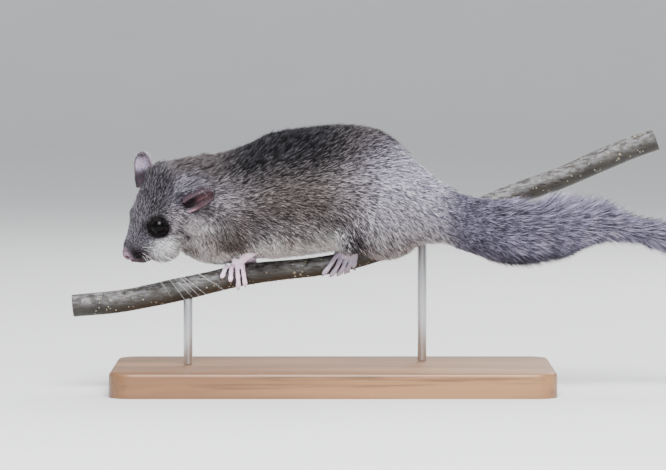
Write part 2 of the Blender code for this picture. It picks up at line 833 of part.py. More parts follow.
def make_eyes_and_lids():
    for name, side in (("eye_left", 1), ("eye_right", -1)):
        centre = head_point(EYE_BACK, EYE_OUT * side, EYE_UP)
        ahead, out, up = EYE_LOOK
        look = (FORWARD * ahead + LEFT * out * side + UP * up).normalized()
        lid = ellipsoid("lid", centre, [EYE_RADIUS + GAP + LID_THICKNESS] * 3, None, 16, 10)
        boolean(head, lid, "UNION", "MANIFOLD")
        socket = ellipsoid("socket", centre, [EYE_RADIUS + GAP] * 3, None, 14, 9)
        boolean(head, socket, "DIFFERENCE", "MANIFOLD")
        opening = tube("opening", [centre, centre + look * 9], [LID_OPENING, LID_OPENING * 1.5], 16)
        boolean(head, opening, "DIFFERENCE", "MANIFOLD")
        remove(lid, socket, opening)
        eye = ellipsoid(name, centre, [EYE_RADIUS] * 3, None, 16, 9)
        finish_node(eye, name, EYE_GLOSS)


def make_nose():
    nose = head_form("nose", NOSE_PAD, 1, 0.0, 12, 8)
    socket = head_form("nose_socket", NOSE_PAD, 1, SOCKET_GROWTH, 12, 8)
    boolean(head, socket, "DIFFERENCE", "MANIFOLD")
    for side in (1, -1):
        hole = head_form("nostril", NOSTRIL, side, 0.0, 8, 6)
        boolean(nose, hole, "DIFFERENCE", "MANIFOLD")
        remove(hole)
    groove = head_form("philtrum", PHILTRUM, 1, 0.0, 8, 6)
    boolean(nose, groove, "DIFFERENCE", "MANIFOLD")
    remove(socket, groove)
    return finish_node(keep_largest(nose), "nose", NOSE_SKIN)


def make_mouth():
    """A low roll for the lips, and the mouth line: a thin ribbon set across the skin that parts them."""
    half = smooth_rows(MOUTH, 3)
    line = [(back, -out, up) for back, out, up in reversed(half[1:])] + half
    points = [head_point(*place) for place in line]
    last = len(line) - 1
    radii = [LIP_RADIUS * (0.45 + 0.55 * math.sin(math.pi * step / last)) for step in range(last + 1)]
    lips = tube("lips", points, radii, 6)
    boolean(head, lips, "UNION", "MANIFOLD")
    remove(lips)
    rings = []
    for back, out, up in line:
        point = head_point(back, out, up)
        inward = (head_point(back + 6, 0.0, up) - point).normalized()
        outer = point - inward * MOUTH_DEPTH
        inner = point + inward * MOUTH_DEPTH
        lift = UP * (MOUTH_GAP / 2)
        rings.append([outer - lift, outer + lift, inner + lift, inner - lift])
    ribbon = loft("mouth_line", rings)
    boolean(head, ribbon, "DIFFERENCE", "MANIFOLD")
    remove(ribbon)


# The ears: a thin cup with a rolled rim on a short stalk that sits in the head

EAR_THICKNESS = 0.8
EAR_STALK = 2.4
EAR_STEPS = 8
EAR_ACROSS = 7


def make_ear(name, root, tip_direction, opening, length, width, cup):
    """A cupped leaf, closed on all sides: its length runs to the tip, and its hollow faces the opening."""
    tip = tip_direction.normalized()
    open_to = (opening - tip * opening.dot(tip)).normalized()
    side = tip.cross(open_to)
    bm = bmesh.new()
    rows = []
    for step in range(EAR_STEPS):
        t = step / (EAR_STEPS - 1)
        half = width / 2 * (math.sin(math.pi * (0.16 + 0.76 * t**0.85)) ** 0.5)
        bend = cup * (1 - 0.55 * t)
        row = []
        for index in range(EAR_ACROSS):
            v = 2 * index / (EAR_ACROSS - 1) - 1
            across = side * (half * math.sin(v * math.pi / 2))
            lift = open_to * (bend * (abs(v) ** 1.6) - bend * 0.5 + 1.2 * (t - 0.5) ** 2)
            round_tip = tip * (-0.16 * length * t * v * v)
            row.append(bm.verts.new(root + tip * (length * t) + across + lift + round_tip))
        rows.append(row)
    for row, after in zip(rows, rows[1:]):
        for index in range(EAR_ACROSS - 1):
            bm.faces.new((row[index], row[index + 1], after[index + 1], after[index]))
    bmesh.ops.scale(bm, vec=(MM, MM, MM), verts=bm.verts[:])
    mesh = bpy.data.meshes.new(name)
    bm.to_mesh(mesh)
    bm.free()
    leaf = link(name, mesh)
    add_modifier(leaf, "SOLIDIFY", thickness=EAR_THICKNESS * MM, offset=0.0)
    face_out(apply_modifiers(leaf))
    stalk = ellipsoid("stalk", root + tip * 0.5, [EAR_STALK] * 3, None, 12, 7)
    return join_all(name, [leaf, stalk])


# Each ear: its root, the way to its tip, the way its hollow faces, its length, width and depth of cup.
EAR_LEFT = (
    head_point(29.6, 14.0, 6.8),
    Vector((0.90, -0.10, 0.42)),
    Vector((-0.25, -0.95, -0.15)),
    13.6,
    9.0,
    3.0,
)
EAR_RIGHT = (
    head_point(26.0, -12.0, 10.4),
    Vector((-0.14, 0.18, 0.97)),
    Vector((-0.72, -0.42, 0.20)),
    14.4,
    10.6,
    3.2,
)
ears = [make_ear("ear_left", *EAR_LEFT), make_ear("ear_right", *EAR_RIGHT)]
covers = [swollen(head, GAP), swollen(neck, GAP)]
for ear in ears:
    for cover in covers:
        boolean(ear, cover, "DIFFERENCE", "MANIFOLD")
    finish_node(keep_largest(ear), ear.name, EAR_SKIN)
remove(*covers)

make_mouth()
make_eyes_and_lids()
make_nose()
finish_node(keep_largest(head), "head", GREY_COAT)

# The tail, in three lengths

# X, Y of the middle, Z of the top and of the underside, half width, all out to the tips of the hair.
TAIL = (
    (44.0, -9.0, 81.0, 59.5, 10.2),
    (50.0, -9.2, 78.6, 57.4, 10.6),
    (58.8, -9.5, 77.0, 53.4, 11.6),
    (66.8, -9.0, 77.2, 49.8, 12.6),
    (74.8, -8.0, 76.8, 48.2, 13.2),
    (82.8, -7.0, 77.2, 49.6, 13.2),
    (90.8, -6.0, 77.0, 51.6, 13.0),
    (98.8, -5.0, 76.2, 55.4, 12.6),
    (106.8, -4.0, 74.6, 58.0, 12.2),
    (114.8, -3.0, 71.0, 59.0, 11.8),
    (122.8, -2.0, 67.0, 59.8, 11.4),
    (133.0, -1.0, 63.2, 57.0, 11.0),
    (145.0, 0.0, 60.2, 53.8, 10.0),
    (156.0, 1.0, 58.0, 52.6, 8.0),
    (164.0, 1.5, 56.4, 52.6, 5.2),
    (168.5, 2.0, 55.0, 53.4, 2.0),
)
TAIL_SIDES = 10
TAIL_CUTS = (88.0, 128.0)
TAIL_LINE = smooth_rows(TAIL, 3)
# The core reaches this share of the way to the tips; the locks start inside it.
CORE_SHARE = 0.46
CORE_STEP = 3
ROOT_SHARE = 0.3
# Locks: rings of them along the tail, how many in a ring, and each one's size against the tail there.
LOCK_SPACING = 11.6
FIRST_LOCK_X = 41.0
LAST_LOCK_X = 152.0
FIRST_LOCK_BEHIND_CUT = 0.7
LOCKS_IN_RING = 6
LOCK_REACH = 24.0
# How fast a lock rises from the core: a smaller power is steeper, for the rings that start at a cut.
LOCK_RISE = 0.6
LOCK_RISE_AT_CUT = 0.34
LOCK_OVERLAP = 0.88
LOCK_THICKNESS_SHARE = 0.14
LOCK_THICKNESS_LEAST = 0.5
# Along a lock: how far to its tip, its width and its thickness, each as a share.
LOCK_STATIONS = ((0.0, 0.62, 1.0), (0.38, 1.0, 0.95), (0.72, 0.8, 0.7))
LOCK_STATIONS_AT_CUT = ((0.0, 0.8, 1.0), (0.13, 0.95, 1.0), (0.58, 0.95, 0.85))


def tail_section(x):
    """The middle of the tail, its half width and half height out to the tips, at this X."""
    for row, after in zip(TAIL_LINE, TAIL_LINE[1:]):
        if x <= after[0]:
            t = max(0.0, (x - row[0]) / (after[0] - row[0]))
            _, y, top, bottom, half_width = (p + (q - p) * t for p, q in zip(row, after))
            return Vector((x, y, (top + bottom) / 2)), half_width, (top - bottom) / 2
    _, y, top, bottom, half_width = TAIL_LINE[-1]
    return Vector((x, y, (top + bottom) / 2)), half_width, (top - bottom) / 2


def tail_point(x, angle, share):
    """A point at a share of the way from the tail's middle to the tips of its hair."""
    centre, half_width, half_height = tail_section(x)
    return centre + Vector((0, half_width * math.cos(angle), half_height * math.sin(angle))) * share


def make_core():
    rings = []
    for row in TAIL_LINE[::CORE_STEP]:
        angles = [2 * math.pi * index / TAIL_SIDES for index in range(TAIL_SIDES)]
        rings.append([tail_point(row[0], angle, CORE_SHARE) for angle in angles])
    return loft("tail", rings)


def make_lock(x, angle, reach, twist, at_cut):
    """A flat lock of hair: out of the core, then bending back along the tail to a point."""

    rise = LOCK_RISE_AT_CUT if at_cut else LOCK_RISE

    def along_lock(t):
        share = ROOT_SHARE + (1 - ROOT_SHARE) * math.sin(t * math.pi / 2) ** rise
        return tail_point(x + reach * (0.55 * t + 0.45 * t * t), angle + twist * t, share)

    _, half_width, half_height = tail_section(x + reach * 0.5)
    mean_radius = math.hypot(half_width * math.sin(angle), half_height * math.cos(angle))
    width = LOCK_OVERLAP * mean_radius * 2 * math.pi / LOCKS_IN_RING
    thickness = LOCK_THICKNESS_SHARE * half_height + LOCK_THICKNESS_LEAST
    rings = []
    for t, wide, thick in LOCK_STATIONS_AT_CUT if at_cut else LOCK_STATIONS:
        point = along_lock(t)
        along = (along_lock(t + 0.1) - along_lock(max(t - 0.1, 0.0))).normalized()
        outward = Vector((0, math.cos(angle) / half_width, math.sin(angle) / half_height))
        side = along.cross(outward).normalized()
        out = side.cross(along)
        across = side * (width * wide / 2)
        through = out * (thickness * thick / 2)
        rings.append([point + across, point + through, point - across, point - through])
    bm = bmesh.new()
    made = [[bm.verts.new(point) for point in ring] for ring in rings]
    for ring, after in zip(made, made[1:]):
        for index in range(4):
            following = (index + 1) % 4
            bm.faces.new((ring[index], ring[following], after[following], after[index]))
    tip = bm.verts.new(along_lock(1.0))
    for index in range(4):
        bm.faces.new((made[-1][index], made[-1][(index + 1) % 4], tip))
    bm.faces.new(made[0])
    return object_from("lock", bm)


def lock_rings():
    """Where each ring of locks starts, and whether a cut is just before it; the first is inside the rump."""
    starts = [(FIRST_LOCK_X, False)]
    edges = (TRUNK_END_X, *TAIL_CUTS, LAST_LOCK_X)
    for edge, following in zip(edges, edges[1:]):
        x = edge + FIRST_LOCK_BEHIND_CUT
        while x < following - LOCK_SPACING / 2:
            starts.append((x, x < edge + LOCK_SPACING / 2))
            x += LOCK_SPACING
    return starts


def make_tail():
    """The whole tail: its core with rings of overlapping locks, fused to one body."""
    draw = random.Random(11)
    pieces = [make_core()]
    for ring, (start, at_cut) in enumerate(lock_rings()):
        for index in range(LOCKS_IN_RING):
            angle = 2 * math.pi * (index + 0.5 * (ring % 2)) / LOCKS_IN_RING + draw.uniform(-0.14, 0.14)
            x = start + draw.uniform(0.0, 0.4 if at_cut else 1.6)
            reach = min(LOCK_REACH * draw.uniform(0.88, 1.12), TAIL[-1][0] - x)
            pieces.append(make_lock(x, angle, reach, draw.uniform(-0.2, 0.2), at_cut))
    return join_all("tail", pieces)


tail = make_tail()
tail_cuts = [RUMP_CUT] + [(Vector((x, 0.0, 65.0)), -X_AXIS) for x in TAIL_CUTS] + [None]
for tail_name, front, back in zip(("tail_base", "tail_middle", "tail_tip"), tail_cuts, tail_cuts[1:]):
    finish_node(slice_between(tail, tail_name, front, back), tail_name, TAIL_COAT)
remove(tail)
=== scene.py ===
"""The looks of a life-size edible dormouse on a cut length of branch, with its display stand.

Lengths in tables are millimetres and become metres where a mesh is made. The animal looks towards -X and its
left side, which the camera sees, is at -Y.
"""

import math

import bmesh
import bpy
import numpy as np
from mathutils import Matrix, Vector


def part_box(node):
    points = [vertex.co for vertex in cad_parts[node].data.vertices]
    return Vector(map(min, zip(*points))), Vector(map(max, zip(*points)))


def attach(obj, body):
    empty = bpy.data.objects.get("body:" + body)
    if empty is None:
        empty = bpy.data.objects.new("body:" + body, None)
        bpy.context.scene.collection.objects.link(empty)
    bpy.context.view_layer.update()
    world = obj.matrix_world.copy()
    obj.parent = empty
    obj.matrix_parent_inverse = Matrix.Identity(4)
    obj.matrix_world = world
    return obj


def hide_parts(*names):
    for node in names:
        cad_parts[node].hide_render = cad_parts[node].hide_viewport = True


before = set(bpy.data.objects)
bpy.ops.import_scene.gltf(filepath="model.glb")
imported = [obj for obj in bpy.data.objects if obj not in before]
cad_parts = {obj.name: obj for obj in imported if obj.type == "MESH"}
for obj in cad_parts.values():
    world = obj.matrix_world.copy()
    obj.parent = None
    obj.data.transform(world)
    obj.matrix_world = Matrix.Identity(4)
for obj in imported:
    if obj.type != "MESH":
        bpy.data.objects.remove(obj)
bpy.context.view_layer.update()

# Camera, light and floor
# The camera stands level with the animal's left flank, a little above it, as far back as a long lens needs.
# A soft light from above the camera, with a small bright middle that the eyes catch, and one from behind.

MM = 0.001
CAMERA_AIM = Vector((0.0, 0.0, 0.062))
CAMERA_DISTANCE = 1.6
CAMERA_ELEVATION = math.radians(3)
SENSOR_WIDTH = 36.0
FRAME_WIDTH = 0.2664

camera_data = bpy.data.cameras.new("camera")
camera_data.sensor_width = SENSOR_WIDTH
camera_data.lens = SENSOR_WIDTH * CAMERA_DISTANCE / FRAME_WIDTH
camera = bpy.data.objects.new("camera", camera_data)
bpy.context.scene.collection.objects.link(camera)
camera_offset = Vector((0.0, -math.cos(CAMERA_ELEVATION), math.sin(CAMERA_ELEVATION)))
camera.location = CAMERA_AIM + camera_offset * CAMERA_DISTANCE
camera.rotation_euler = (CAMERA_AIM - camera.location).to_track_quat("-Z", "Y").to_euler()
bpy.context.scene.camera = camera

# Each light: its place and size in metres, its power in watts and its colour.
LIGHTS = (
    ("light_sky", (0.05, -0.74, 0.9), 0.75, 24, (0.99, 0.99, 1)),
    ("light_gap", (0.05, -0.7, 0.86), 0.36, 10, (0.9, 0.93, 1)),
    ("light_behind", (0.4, 0.7, 0.8), 0.8, 12, (1, 1, 1)),
)
for light_name, place, size, power, colour in LIGHTS:
    light_data = bpy.data.lights.new(light_name, "AREA")
    light_data.size = size
    light_data.energy = power
    light_data.color = colour
    light = bpy.data.objects.new(light_name, light_data)
    light.location = place
    light.rotation_euler = (CAMERA_AIM - light.location).to_track_quat("-Z", "Y").to_euler()
    bpy.context.scene.collection.objects.link(light)

SURROUND_STRENGTH = 0.8
world = bpy.data.worlds.new("surround")
bpy.context.scene.world = world
world.use_nodes = True
world.node_tree.nodes["Background"].inputs["Color"].default_value = (0.93, 0.96, 1.0, 1.0)
world.node_tree.nodes["Background"].inputs["Strength"].default_value = SURROUND_STRENGTH


class Field:
    """A number that changes over a surface. Plus, minus, times and so on add Math nodes to its finish."""

    def __init__(self, finish, socket):
        self.finish = finish
        self.socket = socket

    def math(self, operation, *values):
        return self.finish.node("Math", {"operation": operation}, dict(enumerate(values)))

    def __add__(self, other):
        return self.math("ADD", self, other)

    def __radd__(self, other):
        return self.math("ADD", other, self)

    def __sub__(self, other):
        return self.math("SUBTRACT", self, other)

    def __rsub__(self, other):
        return self.math("SUBTRACT", other, self)

    def __mul__(self, other):
        return self.math("MULTIPLY", self, other)

    def __rmul__(self, other):
        return self.math("MULTIPLY", other, self)

    def between(self, low, high):
        """0 below low, 1 above high, and a soft rise from one to the other."""
        settings = {"interpolation_type": "SMOOTHSTEP"}
        return self.finish.node("MapRange", settings, {0: self, 1: low, 2: high})


class Finish:
    """One material: constants on its shader, and the nodes that vary its colour, roughness and relief."""

    def __init__(self, name, **constants):
        self.material = bpy.data.materials.new(name)
        self.material.use_nodes = True
        self.nodes = self.material.node_tree.nodes
        self.links = self.material.node_tree.links
        self.shader = self.nodes["Principled BSDF"]
        for key, value in constants.items():
            self.set(key.replace("_", " "), value)

    def set(self, name, value):
        """Sets a socket of the shader to a constant, or links a field to it."""
        found = next(socket for socket in self.shader.inputs if socket.name.lower() == name.lower())
        self.fill(found, value)

    def fill(self, socket, value):
        if isinstance(value, Field):
            self.links.new(value.socket, socket)
        elif socket.type == "RGBA":
            socket.default_value = (*value[:3], 1.0)
        else:
            socket.default_value = value

    def node(self, kind, settings=None, values=None, output=0):
        """Any node: its settings first, then the values or links of its sockets."""
        made = self.nodes.new("ShaderNode" + kind)
        for key, value in (settings or {}).items():
            setattr(made, key, value)
        for key, value in (values or {}).items():
            self.fill(made.inputs[key], value)
        return Field(self, made.outputs[output])

    def place(self, stretch=(1.0, 1.0, 1.0)):
        """Object coordinates, in metres, stretched along each axis."""
        where = self.node("TexCoord", output="Object")
        return self.node("Mapping", {}, {"Vector": where, "Scale": stretch})

    def noise(self, scale, detail=3.0, stretch=(1.0, 1.0, 1.0)):
        """A number round 0.5 that wanders; scale is in waves to the metre."""
        values = {"Vector": self.place(stretch), "Scale": scale, "Detail": detail, "Roughness": 0.55}
        return self.node("TexNoise", {}, values)

    def mix(self, share, first, second):
        """A colour that goes from first to second as share goes from 0 to 1."""
        return self.node("Mix", {"data_type": "RGBA"}, {0: share, 6: first, 7: second}, output=2)

    def marking(self):
        """The colour that is painted on each vertex."""
        return self.node("Attribute", {"attribute_name": "marking"}, output="Color")

    def relief(self, height, distance, strength=1.0):
        """Leads a height to the shader's normal; distance is its depth in metres."""
        values = {"Height": height, "Distance": distance, "Strength": strength}
        self.set("Normal", self.node("Bump", {}, values))


def linear(*levels):
    """A colour given as screen levels from 0 to 255, as the shader counts it."""
    share = np.array(levels, float) / 255
    return tuple(np.where(share <= 0.04045, share / 12.92, ((share + 0.055) / 1.055) ** 2.4))


def mesh_of(bm, name):
    """Makes a smooth mesh of a bmesh, and frees the bmesh."""
    mesh = bpy.data.meshes.new(name)
    bm.to_mesh(mesh)
    bm.free()
    mesh.shade_smooth()
    return mesh


def new_object(name, mesh, *materials):
    obj = bpy.data.objects.new(name, mesh)
    bpy.context.scene.collection.objects.link(obj)
    for one in materials:
        mesh.materials.append(one)
    return obj


floor_finish = Finish("floor", roughness=0.85)
floor_tone = floor_finish.mix(floor_finish.noise(9.0), (0.70, 0.70, 0.69), (0.74, 0.74, 0.73))
floor_finish.set("base color", floor_tone)

FLOOR_HALF_WIDTH = 4.0
FLOOR_FRONT = -3.0
CURVE_START = 3.2
CURVE_RADIUS = 1.0
WALL_TOP = 4.0
bm = bmesh.new()
profile = [(FLOOR_FRONT, 0.0)]
for step in range(13):
    angle = math.pi / 2 * step / 12
    along = CURVE_START + CURVE_RADIUS * math.sin(angle)
    profile.append((along, CURVE_RADIUS * (1 - math.cos(angle))))
profile.append((CURVE_START + CURVE_RADIUS, WALL_TOP))
edge_points = [bm.verts.new((-FLOOR_HALF_WIDTH, y, z)) for y, z in profile]
edges = [bm.edges.new(pair) for pair in zip(edge_points, edge_points[1:])]
made = bmesh.ops.extrude_edge_only(bm, edges=edges)
moved = [item for item in made["geom"] if isinstance(item, bmesh.types.BMVert)]
bmesh.ops.translate(bm, vec=(2 * FLOOR_HALF_WIDTH, 0, 0), verts=moved)
new_object("floor", mesh_of(bm, "floor"), floor_finish.material)

# The branch
# A cut length of a live beech-like branch, 8 to 9 mm thick, with smooth grey-brown bark, fine wrinkles
# along it and raised pale pores. Both ends are sawn square and show the wood.

# X, Y, Z of the branch's middle line, and its radius.
BRANCH = (
    (-104, -2, 33.8, 4.5), (-87, -2, 35.4, 4.5), (-70.4, -2, 38.4, 4.6), (-58.4, -1.6, 41, 4.6),
    (-48, -1, 43.3, 4.4), (-37.2, 0, 45.8, 4.4), (-27.2, 0.2, 47.2, 4.2), (-13.2, 0.6, 48.6, 4),
    (-2.8, 1.6, 49.8, 3.8), (4.8, 3.4, 51.2, 3.8), (14.8, 7.4, 53.8, 3.9), (26.8, 12.8, 58, 4),
    (38.8, 17.4, 62.6, 4.1), (50.8, 20.8, 67.6, 4.2), (69.6, 24.2, 75.8, 4.3), (91.6, 25.6, 83.6, 4.5),
    (106.8, 25.6, 90.2, 4.6), (120.8, 24.8, 96, 4.6), (131, 24, 99.6, 4.5),
)
BRANCH_STEPS = 22
BRANCH_SMOOTHNESS = 22


def smooth_rows(rows, steps):
    """Rows of numbers with a smooth run of new rows between each two, through every given one."""
    rows = np.array(rows, float)
    slope = (np.vstack([rows[1:], rows[-1:]]) - np.vstack([rows[:1], rows[:-1]])) / 2
    found = []
    for index in range(len(rows) - 1):
        for t in np.arange(steps) / steps:
            here = (2 * t**3 - 3 * t**2 + 1) * rows[index] + (t**3 - 2 * t**2 + t) * slope[index]
            there = (3 * t**2 - 2 * t**3) * rows[index + 1] + (t**3 - t**2) * slope[index + 1]
            found.append(here + there)
    found.append(rows[-1])
    return np.array(found)


def tube_mesh(name, rows, smoothness=4):
    """A closed round tube along rows of X, Y, Z and radius, all in millimetres."""
    curve = bpy.data.curves.new(name, "CURVE")
    curve.dimensions = "3D"
    curve.bevel_depth = MM
    curve.bevel_resolution = smoothness
    curve.use_fill_caps = True
    spline = curve.splines.new("POLY")
    spline.points.add(len(rows) - 1)
    for point, row in zip(spline.points, rows):
        point.co = (*(np.array(row[:3]) * MM), 1.0)
        point.radius = row[3]
    obj = bpy.data.objects.new(name, curve)
    bpy.context.scene.collection.objects.link(obj)
    graph = bpy.context.evaluated_depsgraph_get()
    mesh = bpy.data.meshes.new_from_object(obj.evaluated_get(graph))
    bpy.data.objects.remove(obj)
    bpy.data.curves.remove(curve)
    mesh.name = name
    bm = bmesh.new()
    bm.from_mesh(mesh)
    bmesh.ops.remove_doubles(bm, verts=bm.verts[:], dist=1e-7)
    bmesh.ops.recalc_face_normals(bm, faces=bm.faces[:])
    bm.to_mesh(mesh)
    bm.free()
    mesh.shade_smooth()
    return mesh


def points_of(mesh):
    """A mesh's vertices in millimetres, one row each."""
    found = np.empty(len(mesh.vertices) * 3)
    mesh.vertices.foreach_get("co", found)
    return found.reshape(-1, 3) / MM


def move_points(mesh, points):
    mesh.vertices.foreach_set("co", (points * MM).ravel())
    mesh.update()


def wander(points, wavelength, seed, waves=9):
    """A smooth number between about -1 and 1 that wanders over this many millimetres."""
    draw = np.random.default_rng(seed)
    found = np.zeros(len(points))
    for _ in range(waves):
        way = draw.normal(size=3)
        way *= 2 * math.pi / (wavelength * draw.uniform(0.7, 1.5) * np.linalg.norm(way))
        found += np.sin(points @ way + draw.uniform(0, 2 * math.pi))
    return found / math.sqrt(waves)


def soft_step(values, low, high):
    """0 below low, 1 above high, and a soft rise from one to the other."""
    t = ((values - low) / (high - low)).clip(0, 1)
    return t * t * (3 - 2 * t)


branch_line = smooth_rows(BRANCH, BRANCH_STEPS)


def branch_at(x):
    """The branch's middle, radius, direction, and its near and upper cross directions at this X."""
    row = [float(np.interp(x, branch_line[:, 0], branch_line[:, k])) for k in (1, 2, 3)]
    step = [float(np.interp(x + 1.0, branch_line[:, 0], branch_line[:, k])) for k in (1, 2)]
    along = Vector((1.0, step[0] - row[0], step[1] - row[1])).normalized()
    near = (Vector((0, -1, 0)) + along * along.y).normalized()
    return Vector((x, row[0], row[1])), row[2], along, near, near.cross(along)


def on_branch(x, degrees, lift):
    """A point over the bark: degrees is 0 on the near side, 90 on top and 180 on the far side."""
    centre, radius, _, near, up = branch_at(x)
    angle = math.radians(degrees)
    return centre + (near * math.cos(angle) + up * math.sin(angle)) * (radius + lift)


bark = Finish("bark", roughness=0.6, coat_roughness=0.35)
mottle = bark.noise(70.0, 4.0)
fine = bark.noise(760.0, 5.0, (0.4, 1.0, 1.0))
wrinkle = bark.noise(1200.0, 3.0, (0.26, 1.0, 1.0))
# Bark that faces up is silvered, partly by grey lichen and partly as a painted sheen of the light from above.
top_light_and_lichen = bark.node("Attribute", {"attribute_name": "top_light_and_lichen"}, output="Fac")
brown = bark.mix(mottle.between(0.32, 0.62), linear(27, 23, 18), linear(47, 42, 34))
lichen_and_top_sheen = bark.mix(fine.between(0.35, 0.65) * top_light_and_lichen, brown, linear(110, 107, 108))
shaded = bark.mix(wrinkle.between(0.30, 0.48), linear(25, 21, 17), lichen_and_top_sheen)
cells = bark.node("TexVoronoi", {}, {"Vector": bark.place(), "Scale": 260.0})
specks = (1 - cells.between(0.10, 0.20)) * mottle.between(0.40, 0.60)
bark.set("base color", bark.mix(specks * 0.8, shaded, linear(140, 126, 104)))
bark.set("roughness", 0.72 - 0.28 * fine)
bark.set("coat weight", 0.25 * mottle)
bark.relief(wrinkle * 0.6 + fine * 0.7 + specks * 0.7, 0.00045, 0.9)

sawn_wood = Finish("sawn_wood", roughness=0.7)
rays = sawn_wood.noise(900.0, 4.0, (0.25, 1.0, 1.0))
wood_tone = sawn_wood.mix(rays.between(0.35, 0.65), linear(188, 158, 118), linear(216, 192, 154))
sawn_wood.set("base color", wood_tone)
sawn_wood.relief(rays, 0.0002)

branch_mesh = tube_mesh("perch_branch_bark", branch_line, BRANCH_SMOOTHNESS)
surface = points_of(branch_mesh)
middle = np.stack([np.interp(surface[:, 0], branch_line[:, 0], branch_line[:, k]) for k in (0, 1, 2)], axis=1)
outward = surface - middle
outward[:, 0] = 0
swelling = 0.10 * wander(surface, 16.0, 3) + 0.035 * wander(surface, 2.6, 4) - 0.05
branch_points = surface + outward / np.linalg.norm(outward, axis=1)[:, None].clip(1) * swelling[:, None]
move_points(branch_mesh, branch_points)
# How much the bark faces up, for its lichen and its painted top light.
upward = outward[:, 2] / np.linalg.norm(outward, axis=1).clip(1)
top_light_and_lichen_layer = branch_mesh.attributes.new("top_light_and_lichen", "FLOAT", "POINT")
top_light_and_lichen_layer.data.foreach_set("value", soft_step(upward + 0.15 * wander(surface, 7.0, 5), -0.5, 0.75))
branch_piece = new_object("perch_branch_bark", branch_mesh, bark.material, sawn_wood.material)
for polygon in branch_mesh.polygons:
    if len(polygon.vertices) > 4:
        polygon.material_index = 1
        polygon.use_smooth = False
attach(branch_piece, "root")
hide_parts("perch_branch")

# The pores of the bark
# Raised oval pores (lenticels), 0.4 to 1 mm long, corky and paler than the bark, scattered over it.

PORE_COUNT = 420
PORE_SUNK = 0.08
PORE_SEED = 11


def scatter_pores():
    draw = np.random.default_rng(PORE_SEED)
    bm = bmesh.new()
    for _ in range(PORE_COUNT):
        x = draw.uniform(-101, 128)
        centre = on_branch(x, draw.uniform(0, 360), -PORE_SUNK)
        middle_line, _, along, _, _ = branch_at(x)
        out = (centre - middle_line).normalized()
        size = draw.uniform(0.16, 0.38)
        made = bmesh.ops.create_icosphere(bm, subdivisions=2, radius=1.0)
        turn = Matrix((along.cross(out), along, out)).transposed().to_4x4()
        shape = Matrix.Diagonal((size * draw.uniform(0.9, 1.5), size, size * 0.62, 1.0))
        place = Matrix.Translation(centre * MM) @ turn @ Matrix.Scale(MM, 4) @ shape
        bmesh.ops.transform(bm, matrix=place, verts=made["verts"])
    return mesh_of(bm, "bark_pores")


cork = Finish("cork", roughness=0.8)
cork_grain = cork.noise(1500.0, 3.0)
cork.set("base color", cork.mix(cork_grain.between(0.35, 0.65), linear(122, 114, 94), linear(164, 157, 136)))
cork.relief(cork_grain, 0.0002)
pores = new_object("bark_pores", scatter_pores(), cork.material)
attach(pores, "root")

# The stand's base
# One board of planed hardwood with rounded corners and a softened upper edge, oiled and satin.

BASE_CORNER = 9.0
BASE_EDGE = 1.6
stand_wood = Finish("stand_wood", roughness=0.42, coat_roughness=0.3)
grain = stand_wood.noise(46.0, 5.0, (0.10, 1.0, 1.6))
streaks = stand_wood.noise(420.0, 3.0, (0.035, 1.0, 1.0))
board = stand_wood.mix(grain.between(0.36, 0.64), linear(116, 80, 50), linear(152, 110, 72))
board = stand_wood.mix((1 - streaks.between(0.30, 0.44)) * 0.6, board, linear(78, 52, 32))
stand_wood.set("base color", board)
stand_wood.set("roughness", 0.36 + 0.2 * streaks)
stand_wood.set("coat weight", 0.2 + 0.1 * grain)
stand_wood.relief(streaks, 0.00018, 0.7)

base_low, base_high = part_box("stand_base")
base_size = base_high - base_low
bm = bmesh.new()
bmesh.ops.create_cube(bm, size=1.0)
bmesh.ops.scale(bm, vec=base_size, verts=bm.verts[:])
bmesh.ops.translate(bm, vec=(base_low + base_high) / 2, verts=bm.verts[:])
upright = [edge for edge in bm.edges if abs(edge.verts[0].co.z - edge.verts[1].co.z) > base_size.z / 2]
bmesh.ops.bevel(
    bm, geom=upright, offset=BASE_CORNER * MM, segments=16, profile=0.5, affect="EDGES", material=-1
)
upper = [edge for edge in bm.edges if all(v.co.z > base_high.z - 1e-6 for v in edge.verts)]
bmesh.ops.bevel(bm, geom=upper, offset=BASE_EDGE * MM, segments=6, profile=0.5, affect="EDGES", material=-1)
base_mesh = mesh_of(bm, "stand_board")
base_mesh.set_sharp_from_angle(angle=math.radians(35))
stand_board = new_object("stand_board", base_mesh, stand_wood.material)
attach(stand_board, "root")
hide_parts("stand_base")

# The stand's rods
# Two round steel rods, 3.6 mm thick, pressed into the base and ending in the underside of the branch.

ROD_RADIUS = 1.8
ROD_EDGE = 0.3
rod_steel = Finish("rod_steel", metallic=1.0, roughness=0.3)
brushing = rod_steel.noise(2600.0, 2.0, (1.0, 1.0, 0.04))
rod_steel.set("base color", rod_steel.mix(brushing, (0.48, 0.48, 0.49), (0.62, 0.62, 0.63)))
rod_steel.set("roughness", 0.24 + 0.2 * brushing)
for rod_name in ("stand_rod_front", "stand_rod_back"):
    low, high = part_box(rod_name)
    bm = bmesh.new()
    bmesh.ops.create_cone(
        bm,
        cap_ends=True,
        segments=48,
        radius1=ROD_RADIUS * MM,
        radius2=ROD_RADIUS * MM,
        depth=high.z - low.z,
    )
    bmesh.ops.translate(bm, vec=(low + high) / 2, verts=bm.verts[:])
    rims = [edge for edge in bm.edges if abs(edge.verts[0].co.z - edge.verts[1].co.z) < 1e-6]
    bmesh.ops.bevel(bm, geom=rims, offset=ROD_EDGE * MM, segments=3, profile=0.5, affect="EDGES", material=-1)
    rod_mesh = mesh_of(bm, rod_name + "_round")
    rod_mesh.set_sharp_from_angle(angle=math.radians(35))
    rod = new_object(rod_name + "_round", rod_mesh, rod_steel.material)
    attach(rod, "root")
    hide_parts(rod_name)

# The skin
# One closed skin over the head, trunk, legs and the bone of the tail. It lies inside the solids by the
# depth of the coat: 1.4 mm on the back, where the hair lies flat, and well under 1 mm on the face.

